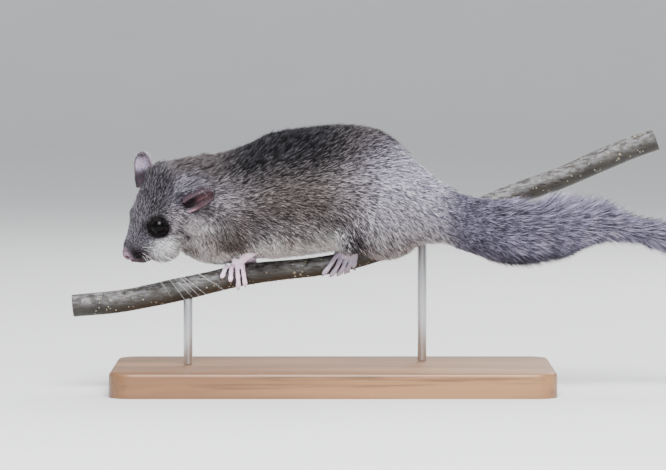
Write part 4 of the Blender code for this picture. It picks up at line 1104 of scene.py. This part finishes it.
def grow_coat(name, chosen, count, line, width, seed):
    draw = np.random.default_rng(seed)
    roots, normals = skin_surface.roots(chosen, count, draw)
    eye_gap = np.full(count, np.inf)
    for side in (1, -1):
        eye_gap = np.minimum(eye_gap, np.linalg.norm(roots - eye_centre(side), axis=1) - EYE_RADIUS)
    from_nose = np.stack(head_places(roots), axis=1) - NOSE_MIDDLE
    nose_gap = np.linalg.norm(from_nose / NOSE_CLEARANCE, axis=1)
    keep = (eye_gap > EYE_CLEARANCE) & (nose_gap > 1)
    ear_gap = np.minimum(*[np.linalg.norm(roots - hollow, axis=1) for hollow in EAR_HOLLOWS])
    keep &= (ear_gap > EAR_CLEARANCE) & (draw.random(count) > soft_step(roots[:, 0], 45, 58))
    wrist = np.zeros(count)
    for limb_name in LIMBS:
        share, _, belongs = on_limb(roots, limb_name)
        wrist = np.maximum(wrist, belongs * soft_step(share, 0.55, 0.8))
        keep &= (share < 0.88) | (belongs < 0.3)
    roots, normals, eye_gap, wrist = roots[keep], normals[keep], eye_gap[keep], wrist[keep]
    ear_gap = ear_gap[keep]
    count = len(roots)
    depth = coat_depth(roots)
    lie = lie_of(roots, normals)
    across = np.cross(lie, normals)
    stray = draw.normal(0, math.radians(8), count)
    lie = lie * np.cos(stray)[:, None] + across * np.sin(stray)[:, None]
    length = (depth * LENGTH_SHARE + LENGTH_LEAST) * draw.uniform(0.7, 1.2, count)
    length *= (1 - 0.75 * wrist) * (0.4 + 0.6 * soft_step(eye_gap, 0.6, 4.0))
    length *= 0.5 + 0.5 * soft_step(ear_gap, 3.0, 6.5)
    for hand in HANDS:
        length *= 0.35 + 0.65 * soft_step(np.linalg.norm(roots - hand, axis=1), 3.5, 8.0)
    length *= 0.5 + 0.5 * soft_step(head_places(roots)[0], 3.0, 9.0)
    lift = (LIFT + draw.normal(0, LIFT_SPREAD, count)) * (1 - 0.4 * soft_step(roots[:, 0], 38, 50))
    widths = width * (0.5 + 0.5 * (depth / BODY_COAT)) * draw.uniform(0.7, 1.25, count)
    stray = COLOUR_STRAY[0] + COLOUR_STRAY[1] * soft_step(head_places(roots)[0], 28, 50) * (1 - 0.8 * wrist)
    base = coat_colour(roots + draw.normal(0, 1, (count, 3)) * stray[:, None])
    base *= (1 + 0.045 * wander(roots, 5.0, 31) + 0.05 * wander(roots, 2.0, 32))[:, None]
    kind = draw.random(count)
    pale = np.where(kind > 1 - PALE_HAIRS[0], PALE_HAIRS[1], 1.0)
    tip = np.where(kind < DARK_HAIRS[0], DARK_HAIRS[1], pale) * draw.uniform(0.9, 1.1, count)
    paleness = base.mean(axis=1) / 255
    tip = tip + (1.04 - tip) * soft_step(paleness, 0.62, 0.9) * 0.28
    silver = SILVER_TIPS * (kind > 1 - SILVER_SHARE) * (1 - soft_step(paleness, 0.12, 0.42))
    ends = base * tip[:, None] + silver[:, None]
    # Each tuft is darker at its root: painted shade deep in the coat.
    levels = np.stack([base * 0.5, base * 0.45 + ends * 0.5, ends], axis=1)
    places = unwrap(roots, line)
    mesh = tufts_mesh(name, roots, normals, lie, length, widths, lift, CURL, levels, places)
    piece = new_object(name, mesh, hair.material)
    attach(piece, "root")


for coat_seed, (coat_name, chosen, count, line, width) in enumerate(COATS):
    grow_coat(coat_name, chosen, count, line, width, COAT_SEED + coat_seed)

# The tail's coat
# Long soft straight hair all round the bone, standing at half a right angle to it like a bottle brush, so
# that the upper edge rises in fine points and the lower one hangs. It shortens and lies flatter to the end.

# Each length of the tail: where it starts and ends along X, and its tufts.
TAIL_PARTS = (
    ("coat_tail_base", 43, 82, 30000), ("coat_tail_middle", 82, 120, 27000),
    ("coat_tail_tip", 120, 162, 15000),
)
TAIL_SEED = 200
TAIL_WIDTH = 0.32
TAIL_WIDEST = 0.58
TAIL_LIFT = math.radians(52)
TAIL_CURL = math.radians(16)
TAIL_AHEAD = 6.0
TAIL_LONGEST = 15.0
TAIL_TOP_RISE = 3.2
TAIL_SHADE = 0.06
TAIL_LOWEST_SHADE = 0.4


def grow_tail(name, low, high, count, seed):
    draw = np.random.default_rng(seed)
    chosen = (triangle_x >= low) & (triangle_x < high)
    roots, normals = skin_surface.roots(chosen, count, draw)
    keep = draw.random(count) < soft_step(roots[:, 0], 42, 55)
    roots, normals = roots[keep], normals[keep]
    count = len(roots)
    x = roots[:, 0]
    flatter = (0.55 + 0.45 * soft_step(x, 46, 66)) * (1 - 0.45 * soft_step(x, 118, 156))
    lift = TAIL_LIFT * draw.uniform(0.65, 1.15, count) * flatter
    radial = normals * (0.0, 1.0, 1.0)
    radial /= np.linalg.norm(radial, axis=1)[:, None].clip(1e-6)
    half_up = (tail_line[:, 2] - tail_line[:, 3]) / 2
    ahead = x + TAIL_AHEAD * soft_step(x, 44, 60)
    reach_up = np.interp(ahead, tail_line[:, 0], half_up)
    reach_out = np.interp(ahead, tail_line[:, 0], tail_line[:, 4])
    reach = np.hypot(reach_out * radial[:, 1], reach_up * radial[:, 2])
    rise = soft_step(radial[:, 2], 0.1, 0.9) * soft_step(x, 52, 70) * (1 - soft_step(x, 100, 116))
    reach += TAIL_TOP_RISE * rise
    middle = np.stack([np.interp(x, tail_middle[:, 0], tail_middle[:, k]) for k in (1, 2)], axis=1)
    core = np.hypot(roots[:, 1] - middle[:, 0], roots[:, 2] - middle[:, 1])
    length = (reach - core).clip(1.6) / np.sin(TAIL_LIFT * flatter * 0.93)
    under = draw.random(count) < 0.4
    length = length * np.where(under, draw.uniform(0.45, 0.8, count), draw.uniform(0.85, 1.1, count))
    length = length.clip(2.6, TAIL_LONGEST)
    lie = lie_of(roots, normals) + draw.normal(0, 0.2, (count, 3))
    lie -= normals * (lie * normals).sum(axis=1)[:, None]
    lie /= np.linalg.norm(lie, axis=1)[:, None]
    base = coat_colour(roots) * (1 + 0.08 * wander(roots, 6.0, 41) + 0.06 * wander(roots, 2.4, 42))[:, None]
    base *= (1 - TAIL_SHADE * soft_step(-radial[:, 2], 0.2, 0.9))[:, None]
    lowest = soft_step(-radial[:, 2], 0.65, 0.97) * soft_step(x, 56, 70) * (1 - soft_step(x, 88, 102))
    base *= (1 - TAIL_LOWEST_SHADE * lowest)[:, None]
    kind = draw.random(count)
    tip = np.where(kind < 0.3, 0.48, np.where(kind > 0.6, 1.64, 1.0)) * draw.uniform(0.9, 1.1, count)
    # Each tuft is darker at its root: painted shade deep in the tail's hair.
    levels = np.stack([base * 0.4, base * (0.5 + 0.26 * tip)[:, None], base * tip[:, None]], axis=1)
    widths = TAIL_WIDTH * draw.uniform(0.7, 1.25, count)
    places = unwrap(roots, tail_middle)
    mesh = tufts_mesh(
        name, roots, normals, lie, length, widths, lift, TAIL_CURL, levels, places, TAIL_WIDEST
    )
    piece = new_object(name, mesh, hair.material)
    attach(piece, "root")


for tail_seed, (tail_name, low, high, count) in enumerate(TAIL_PARTS):
    grow_tail(tail_name, low, high, count, TAIL_SEED + tail_seed)

# The eyes
# Large bulging eyes, 7.4 mm across, black brown and wet, with hardly any white showing.

eye_gloss = Finish("eye_gloss", specular_ior_level=0.15, ior=1.36)
iris = eye_gloss.noise(900.0, 4.0)
eye_gloss.set("base color", eye_gloss.mix(iris.between(0.4, 0.7), linear(2, 2, 3), linear(9, 6, 6)))
eye_gloss.set("roughness", 0.04 + 0.04 * iris)
CORNEA_BULGE = 0.22
for eye_name, side in (("eye_left", 1), ("eye_right", -1)):
    bm = bmesh.new()
    bmesh.ops.create_uvsphere(bm, u_segments=64, v_segments=40, radius=EYE_RADIUS * MM)
    look = Vector(eye_look(side))
    turn = look.to_track_quat("Z", "Y").to_matrix().to_4x4()
    for vertex in bm.verts:
        forward = max(0.0, vertex.co.z / (EYE_RADIUS * MM))
        vertex.co *= 1 + CORNEA_BULGE / EYE_RADIUS * forward**6
    place = Matrix.Translation(Vector(eye_centre(side)) * MM) @ turn
    bmesh.ops.transform(bm, matrix=place, verts=bm.verts[:])
    eyeball = new_object(eye_name + "_ball", mesh_of(bm, eye_name + "_ball"), eye_gloss.material)
    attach(eyeball, "root")
    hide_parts(eye_name)

# The eyelids
# A thin dark rim of bare skin round each eye, a little longer than high, that rolls down into the fur.

# Across the lid, from inside the rim out: turn away from the eye's look in degrees, and distance from the
# eye's middle.
LID_PROFILE = (
    (50, 3.45), (56, 3.66), (59, 3.82), (62, 4.02), (67, 4.16), (74, 4.2), (83, 4.12), (94, 3.95),
    (102, 3.6),
)
LID_LENGTH = 0.06
LID_WALL = 0.18
LID_SEGMENTS = 72

lid_skin = Finish("lid_skin", roughness=0.6, specular_ior_level=0.03)
lid_folds = lid_skin.noise(1800.0, 3.0)
lid_skin.set("base color", lid_skin.mix(lid_folds.between(0.35, 0.65), linear(6, 5, 6), linear(18, 14, 16)))
lid_skin.relief(lid_folds, 0.0002)


def make_lid(name, side):
    bm = bmesh.new()
    verts = []
    for degrees, distance in LID_PROFILE:
        angle = math.radians(degrees)
        verts.append(bm.verts.new((distance * math.sin(angle) * MM, 0, distance * math.cos(angle) * MM)))
    edges = [bm.edges.new(pair) for pair in zip(verts, verts[1:])]
    bmesh.ops.spin(
        bm,
        geom=verts + edges,
        cent=(0, 0, 0),
        axis=(0, 0, 1),
        angle=2 * math.pi,
        steps=LID_SEGMENTS,
        use_merge=True,
    )
    bmesh.ops.remove_doubles(bm, verts=bm.verts[:], dist=1e-7)
    look = Vector(eye_look(side))
    ahead = Vector(FORWARD)
    long_way = (ahead - look * ahead.dot(look)).normalized()
    turn = Matrix((long_way, look.cross(long_way), look)).transposed().to_4x4()
    for vertex in bm.verts:
        around = math.atan2(vertex.co.y, vertex.co.x)
        stretch = 1 + LID_LENGTH * math.cos(2 * around)
        vertex.co.x *= stretch
        vertex.co.y *= stretch
    place = Matrix.Translation(Vector(eye_centre(side)) * MM) @ turn
    bmesh.ops.transform(bm, matrix=place, verts=bm.verts[:])
    bmesh.ops.recalc_face_normals(bm, faces=bm.faces[:])
    return mesh_of(bm, name)


for lid_name, side in (("lid_left", 1), ("lid_right", -1)):
    lid = new_object(lid_name, make_lid(lid_name, side), lid_skin.material)
    wall = lid.modifiers.new("wall", "SOLIDIFY")
    wall.thickness = LID_WALL * MM
    wall.offset = -1.0
    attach(lid, "root")

# The nose
# A bare, moist, lilac pink pad with a groove down its middle and a comma-shaped nostril on each side.

NOSE_SIZES = (2.6, 2.8, 2.6)
nose_skin = Finish("nose_skin", roughness=0.38, coat_roughness=0.2, subsurface_weight=0.12)
grains = nose_skin.node("TexVoronoi", {}, {"Vector": nose_skin.place(), "Scale": 2600.0})
flush = nose_skin.noise(500.0, 3.0)
nose_marking = nose_skin.marking()
nose_tone = nose_skin.mix(flush.between(0.35, 0.65) * 0.4, nose_marking, linear(122, 86, 104))
nose_skin.set("base color", nose_tone)
nose_skin.set("roughness", 0.30 + 0.25 * grains)
nose_skin.set("coat weight", 0.35 * flush)
nose_skin.relief(grains, 0.00014)


def make_nose():
    bm = bmesh.new()
    bmesh.ops.create_uvsphere(bm, u_segments=96, v_segments=64, radius=1.0)
    tone = bm.verts.layers.float.new("hollow")
    for vertex in bm.verts:
        ahead, out, up = vertex.co
        groove = math.exp(-((out / 0.07) ** 2)) * max(0.0, ahead) ** 0.5 * (1 if up < 0.35 else 0)
        reach = math.hypot((abs(out) - 0.60) / 0.20, (up - 0.02 + 0.5 * (abs(out) - 0.6)) / 0.26)
        nostril = math.exp(-(reach**4)) * (1 if ahead > 0 else 0)
        slit = math.exp(-(((up + 0.12) / 0.07) ** 2)) * max(0.0, min(1.0, (abs(out) - 0.6) / 0.15))
        slit *= ahead > -0.3
        lobes = 0.07 * math.sin(min(1.0, abs(out)) * math.pi) * max(0.0, ahead)
        vertex.co *= 1 + lobes - 0.14 * groove - 0.5 * nostril - 0.16 * slit
        vertex[tone] = min(1.0, 0.55 * groove + nostril + 0.6 * slit)
    rows = [-Vector(head_point(1, 0, 0) - NOSE_TIP), Vector(LEFT), Vector(UP)]
    turn = Matrix(rows).transposed().to_4x4()
    place = Matrix.Translation(Vector(head_point(*NOSE_MIDDLE)) * MM) @ turn
    sizes = Matrix.Diagonal((*(size * MM for size in NOSE_SIZES), 1.0))
    bmesh.ops.transform(bm, matrix=place @ sizes, verts=bm.verts[:])
    bmesh.ops.recalc_face_normals(bm, faces=bm.faces[:])
    hollow = np.array([vertex[tone] for vertex in bm.verts])
    mesh = mesh_of(bm, "nose_pad")
    levels = np.tile(np.array(NOSE_PINK, float), (len(hollow), 1))
    # The nostrils and the groove down the pad are painted darker, as shade in those hollows.
    paint(mesh, toward(levels, (48, 26, 34), hollow))
    return mesh


nose_pad = new_object("nose_pad", make_nose(), nose_skin.material)
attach(nose_pad, "root")
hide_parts("nose")

# The ears
# Thin, naked-looking cups with a rounded tip. The left one is laid back along the neck, the right one
# stands. Pinkish inside with folds at the root and a brown rim, grey with short hair outside.

EAR_ROWS = 46
EAR_COLUMNS = 38
EAR_WALL = 0.5
EAR_ROOT_TURN = 0.19
# Each ear: its root, the way to its tip, the way its hollow faces, its length, width and depth of cup, the
# colour of its hollow, and how far its front edge folds over.
EARS = {
    "ear_left": (
        head_point(30.2, 14.2, 6.9), (0.9, -0.1, 0.42), (-0.2, -0.84, -0.44), 12.4, 7.2, 3.4, (88, 66, 72),
        1,
    ),
    "ear_right": (
        head_point(26, -12, 10.4), (-0.14, 0.18, 0.97), (-0.62, -0.74, 0.16), 13.4, 9, 3, (142, 130, 150),
        0.25,
    ),
}
ear_skin = Finish("ear_skin", roughness=0.65, specular_ior_level=0.2)
ear_marking = ear_skin.marking()
veins = ear_skin.noise(520.0, 5.0)
ear_skin.set("base color", ear_skin.mix(veins.between(0.5, 0.72) * 0.3, ear_marking, linear(104, 58, 60)))
ear_skin.relief(ear_skin.noise(1600.0, 3.0), 0.0002)


def make_ear(name, root, tip_way, opening, length, width, cup, hollow_colour, fold):
    """A cupped leaf, round at its tip, with two low ridges that run up from its root inside."""
    tip_way = np.array(tip_way) / np.linalg.norm(tip_way)
    opening = np.array(opening) - tip_way * (np.array(opening) @ tip_way)
    opening /= np.linalg.norm(opening)
    side = np.cross(tip_way, opening)
    upper = 1 if side[2] > 0 or name.startswith("ear_right") else -1
    bm = bmesh.new()
    bmesh.ops.create_grid(bm, x_segments=EAR_COLUMNS, y_segments=EAR_ROWS, size=1.0)
    rows = []
    for vertex in bm.verts:
        v, t = vertex.co.x, (vertex.co.y + 1) / 2
        turn = EAR_ROOT_TURN + (1 - EAR_ROOT_TURN) * t
        half = width / 2 * (1 - abs(2 * turn - 1) ** (2.5 if fold > 0.5 else 3.8)) ** 0.5
        bend = cup * (1 - 0.5 * t)
        ridge = 0.8 * math.exp(-(((v - 0.30 + 0.25 * t) / 0.10) ** 2)) * (1 - t) ** 0.7
        ridge += 0.5 * math.exp(-(((v + 0.22) / 0.10) ** 2)) * max(0.0, 0.8 - t)
        edge = max(0.0, v * upper - 0.45) / 0.55
        lift = bend * (abs(v) ** 1.7) - bend * 0.5 + 1.2 * (t - 0.5) ** 2 + ridge
        across = half * math.sin(v * math.pi / 2) * (1 - 0.42 * fold * edge**1.5)
        lift += 0.9 * fold * edge
        vertex.co = Vector(root + tip_way * (length * t) + side * across + opening * lift) * MM
        rows.append((v * upper, t, ridge))
    mesh = mesh_of(bm, name)
    v, t, ridge = np.array(rows).T
    levels = np.tile(np.array(hollow_colour, float), (len(v), 1))
    levels = toward(levels, (136, 88, 94), soft_step(ridge, 0.1, 0.45) * (0.75 if fold > 0.5 else 0.1))
    # The pit at the root of the cup is painted dark, as shade in the opening.
    pit_shade = (1 - soft_step(t, 0.22, 0.55)) * (1 - soft_step(np.abs(v - 0.1), 0.35, 0.75))
    levels = toward(levels, (34, 22, 26), pit_shade)
    if fold > 0.5:
        # The inner wall under the folded edge is painted darker: painted shade.
        levels = toward(levels, (56, 45, 52), soft_step(v, 0.3, 0.55) * 0.9)
        levels = toward(levels, (150, 116, 128), soft_step(-v, 0.7, 0.9) * (1 - soft_step(t, 0.1, 0.35)))
    else:
        levels = toward(levels, (38, 32, 40), 1 - soft_step(t, 0.34, 0.62))
    rim = soft_step(np.maximum(np.abs(v), t), 0.84, 0.96) * soft_step(t, 0.2, 0.4)
    levels = toward(levels, (66, 54, 57), rim * 0.6)
    paint(mesh, levels)
    return mesh, np.stack([v, t], axis=1), opening, tip_way


ear_coats = []
for ear_name, values in EARS.items():
    ear_mesh, ear_places, ear_opening, ear_way = make_ear(ear_name + "_leaf", *values)
    ear_surface = Surface(ear_mesh)
    ear_coats.append((ear_name, ear_surface, ear_places, ear_opening, ear_way))
    ear = new_object(ear_name + "_leaf", ear_mesh, ear_skin.material)
    wall = ear.modifiers.new("wall", "SOLIDIFY")
    wall.thickness = EAR_WALL * MM
    wall.offset = 0.0
    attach(ear, "root")
    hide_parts(ear_name)

# The hair on the ears
# Very short fine hair: purplish brown on the back and the folded edge, pale and sparse inside the cup.

EAR_SEED = 300
EAR_TUFTS = 3500
EAR_HAIR_LENGTH = 1.5
EAR_HAIR_WIDTH = 0.16
for ear_seed, (ear_name, surface, places, opening, way) in enumerate(ear_coats):
    draw = np.random.default_rng(EAR_SEED + ear_seed)
    v, t = places[surface.corner].mean(axis=1).T
    roots, normals = surface.roots(np.ones(len(v), bool), EAR_TUFTS, draw)
    centre, span = surface.middle.mean(axis=0), np.array(EARS[ear_name][3:5])
    across = np.cross(way, opening)
    flat = np.stack([(roots - centre) @ across / span[1], (roots - centre) @ way / span[0]], axis=1)
    outer = draw.random(EAR_TUFTS) < 0.72
    facing = np.sign((normals * opening).sum(axis=1))[:, None]
    normals = normals * facing * np.where(outer, -1, 1)[:, None]
    lie = np.tile(way, (EAR_TUFTS, 1)) + draw.normal(0, 0.2, (EAR_TUFTS, 3))
    lie -= normals * (lie * normals).sum(axis=1)[:, None]
    lie /= np.linalg.norm(lie, axis=1)[:, None]
    dark = np.array((60, 51, 57), float)
    pale = np.array((206, 196, 208), float)
    mostly_pale = 0.6 if ear_name == "ear_right" else 0.1
    up_ear = flat[:, 1] - flat[:, 1].min()
    pale_share = mostly_pale * soft_step(up_ear / up_ear.max(), 0.35, 0.65)
    tone = np.where((draw.random(EAR_TUFTS) < pale_share)[:, None], pale, dark)
    # Each hair is a little darker at its root: painted shade.
    levels = np.stack([tone * 0.8, tone, tone * 1.05], axis=1)
    mesh = tufts_mesh(
        ear_name + "_hair",
        roots + normals * (EAR_WALL / 2),
        normals,
        lie,
        EAR_HAIR_LENGTH * draw.uniform(0.6, 1.2, EAR_TUFTS) * np.where(outer, 1.0, 0.8),
        EAR_HAIR_WIDTH * draw.uniform(0.7, 1.2, EAR_TUFTS),
        math.radians(20) + draw.normal(0, 0.15, EAR_TUFTS),
        CURL,
        levels,
        (flat - flat.min(axis=0)) / np.ptp(flat, axis=0) * 0.99 + 0.004,
    )
    ear_hair = new_object(ear_name + "_hair", mesh, hair.material)
    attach(ear_hair, "root")

# The feet
# Bare pinkish white hands and feet with long soft digits that bend round the bark, swollen pads near their
# ends, low knuckles and fine wrinkles. Each is one skin.

DIGIT_STEPS = 14
KNUCKLE_ARCH = 0.6
DIGIT_LIFT = 0.42
FOOT_VOXEL = 0.24
CLAW_TURN = 28.0
CLAW_RADIUS = 0.44
# Where along a digit its radius is what share of its full radius.
DIGIT_SHAPE = (
    (0, 1.02), (0.18, 0.98), (0.34, 0.82), (0.48, 1), (0.62, 0.8), (0.8, 1.04), (0.93, 1.06), (1, 0.8),
)
# Each foot: its points from the leg to the toes with half widths, its digits' X and angle at root and tip,
# and their radius.
FEET = {
    "forefoot_left": (
        (
            (-25, -9.4, 62.4, 1.8), (-27.4, -11.6, 59.7, 1.9), (-29.6, -11.6, 57.8, 1.9),
            (-31.8, -10, 56, 1.8), (-34.2, -7.8, 54.4, 1.9), (-36.4, -5.8, 53.1, 2.4),
            (-38.2, -4.7, 52.2, 2.8), (-39.8, -4.4, 51.4, 2.2),
        ),
        (
            ((-41.6, 58), (-44.4, 14)), ((-39.6, 56), (-41.6, -8)), ((-37.6, 54), (-39, -56)),
            ((-35.6, 52), (-35.8, -44)),
        ),
        0.97,
    ),
    "forefoot_right": (
        (
            (-28, 5.8, 56.8, 2), (-30.2, 4.4, 55.2, 2), (-32.4, 3.4, 53.6, 2.3), (-34.8, 3, 52.2, 2.3),
            (-36.6, 3, 51.2, 1.2),
        ),
        (
            ((-37, 112), (-38.6, 168)), ((-35.2, 114), (-35.6, 206)), ((-33.2, 114), (-32.6, 222)),
            ((-31.2, 116), (-29.6, 204)),
        ),
        0.98,
    ),
    "hindfoot_left": (
        (
            (9.4, -5.9, 59.2, 2.1), (9.2, -5, 56.8, 2.1), (8.2, -3.4, 55.6, 2.2), (6.4, -1.8, 55.2, 2.5),
            (3.8, -1.2, 54.7, 2.2), (2.4, -1, 54.2, 1.2),
        ),
        (
            ((2, 52), (-4.6, -34)), ((3.8, 54), (-1.8, -54)), ((5.6, 54), (0.8, -58)),
            ((7.4, 52), (3.4, -52)), ((8.6, 48), (6.2, -28)),
        ),
        1,
    ),
    "hindfoot_right": (
        (
            (13.4, 10.8, 63, 2.3), (12.9, 9.6, 60.2, 2.3), (11.6, 8.4, 59.2, 2.3), (9, 6.8, 58.4, 2.6),
            (6.4, 5.6, 57.4, 2.2), (5, 5, 56.8, 1.2),
        ),
        (
            ((4.2, 104), (0.8, 214)), ((6, 108), (3.4, 232)), ((8, 112), (6, 236)), ((10, 116), (8.8, 226)),
            ((11.8, 120), (11.2, 200)),
        ),
        1.08,
    ),
}
foot_finishes = {}
# The hind feet have the hands' pinkish white skin; their darker, greyer copy of it is painted shade.
for finish_name, plain, flushed in (
    ("fore", linear(255, 236, 255), linear(250, 208, 236)),
    ("hind", linear(180, 172, 188), linear(158, 138, 156)),
):
    foot_skin = Finish(finish_name + "foot_skin", roughness=0.5, specular_ior_level=0.3)
    creases = foot_skin.noise(1300.0, 4.0)
    blush = foot_skin.noise(300.0, 2.0)
    foot_tone = foot_skin.mix(blush.between(0.4, 0.65) * 0.6, plain, flushed)
    # The wrinkles are painted darker, as shade in them.
    crease_shade_share = (1 - creases.between(0.3, 0.45)) * 0.25
    foot_skin.set("base color", foot_skin.mix(crease_shade_share, foot_tone, linear(150, 116, 128)))
    foot_skin.relief(creases, 0.0002)
    foot_finishes[finish_name] = foot_skin

claw_horn = Finish("claw_horn", roughness=0.3, coat_weight=0.3)
claw_grain = claw_horn.noise(1200.0, 2.0)
claw_horn.set("base color", claw_horn.mix(claw_grain, linear(70, 56, 50), linear(126, 106, 94)))


def digit_rows(root, tip, radius):
    """Points over the bark from a digit's root to its tip, with the radius at each."""
    rows = []
    for t in np.linspace(0, 1, DIGIT_STEPS):
        x = root[0] + (tip[0] - root[0]) * t
        degrees = root[1] + (tip[1] - root[1]) * t
        arch = KNUCKLE_ARCH * math.sin(math.pi * t) * (1 - t)
        swelling = float(np.interp(t, *zip(*DIGIT_SHAPE)))
        rows.append((*on_branch(x, degrees, radius + DIGIT_LIFT * 0.4 + arch), radius * swelling))
    return rows


def claw_rows(root, tip, radius):
    turn = math.copysign(CLAW_TURN, tip[1] - root[1])
    rows = []
    for t in np.linspace(0, 1, 7):
        lift = radius + DIGIT_LIFT + 0.3 * math.sin(math.pi * t) - 0.75 * t
        x = tip[0] + (tip[0] - root[0]) * 0.1 * t
        radius_here = CLAW_RADIUS * (1 - t) ** 0.7 + 0.03
        rows.append((*on_branch(x, tip[1] + turn * (t - 0.12), lift), radius_here))
    return rows


for foot_name, (sole, digits, digit_radius) in FEET.items():
    parts = [tube_mesh("sole", smooth_rows(sole, 5), 6)]
    claws = []
    for root, tip in digits:
        parts.append(tube_mesh("digit", digit_rows(root, tip, digit_radius), 5))
        bm = bmesh.new()
        last_row = digit_rows(root, tip, digit_radius)[-1]
        bmesh.ops.create_icosphere(bm, subdivisions=2, radius=digit_radius * 0.84 * MM)
        bmesh.ops.translate(bm, vec=Vector(last_row[:3]) * MM, verts=bm.verts[:])
        parts.append(mesh_of(bm, "digit_end"))
        claws.append(tube_mesh("claw", claw_rows(root, tip, digit_radius), 3))
    foot = new_object(foot_name + "_skin", joined(foot_name + "_skin", *parts))
    fuse(foot, FOOT_VOXEL)
    settle(foot, 4)
    evaluated(foot)
    foot.data.materials.append(foot_finishes[foot_name[:4]].material)
    foot.data.shade_smooth()
    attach(foot, "root")
    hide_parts(foot_name)
    claw_piece = new_object(foot_name + "_claws", joined(foot_name + "_claws", *claws), claw_horn.material)
    claw_piece.data.shade_smooth()
    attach(claw_piece, "root")

# The whiskers
# Long stiff white hairs, up to 45 mm, in rows on the whisker pads, that curve down and back.

# Each whisker of the left pad: back, out, up of its root; then the way that it points, the same way; its
# length, and how far it droops.
WHISKERS = (
    ((7.4, 7.4, 0), (0.66, 0.9, -0.22), 27, 4), ((8.6, 7.8, -0.8), (0.6, 0.9, -0.36), 33, 5),
    ((7.2, 7.2, -1.2), (0.5, 0.92, -0.46), 38, 6), ((8.8, 7.8, -2), (0.46, 0.92, -0.56), 42, 6),
    ((7.4, 7.2, -2.4), (0.34, 0.9, -0.66), 40, 6), ((6, 6.6, -1.8), (0.24, 0.9, -0.62), 30, 5),
    ((8.8, 7.6, -3.2), (0.22, 0.86, -0.78), 36, 5), ((7.2, 6.8, -3.4), (0.08, 0.86, -0.84), 28, 4),
    ((5.6, 6, -2.8), (-0.02, 0.86, -0.8), 20, 3), ((6.6, 6, -4.2), (-0.14, 0.8, -0.9), 15, 2),
)
WHISKER_RADII = (0.055, 0.012)
whisker_hair = Finish("whisker_hair", roughness=0.35)
whisker_tone = whisker_hair.noise(300.0)
whisker_hair.set("base color", whisker_hair.mix(whisker_tone, linear(212, 208, 206), linear(244, 242, 240)))


def whisker_rows(root, way, length, droop, side):
    start = head_point(root[0], root[1] * side, root[2])
    along = -FORWARD * way[0] + LEFT * (way[1] * side) + UP * way[2]
    along /= np.linalg.norm(along)
    rows = []
    for t in np.linspace(0, 1, 14):
        place = start + along * (length * t) + np.array((0.0, 0.0, -droop * t * t))
        rows.append((*place, WHISKER_RADII[0] + (WHISKER_RADII[1] - WHISKER_RADII[0]) * t))
    return rows


for whisker_name, side in (("whiskers_left", 1), ("whiskers_right", -1)):
    hairs = [tube_mesh("whisker", whisker_rows(*one, side), 2) for one in WHISKERS]
    whiskers = new_object(whisker_name, joined(whisker_name, *hairs), whisker_hair.material)
    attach(whiskers, "root")
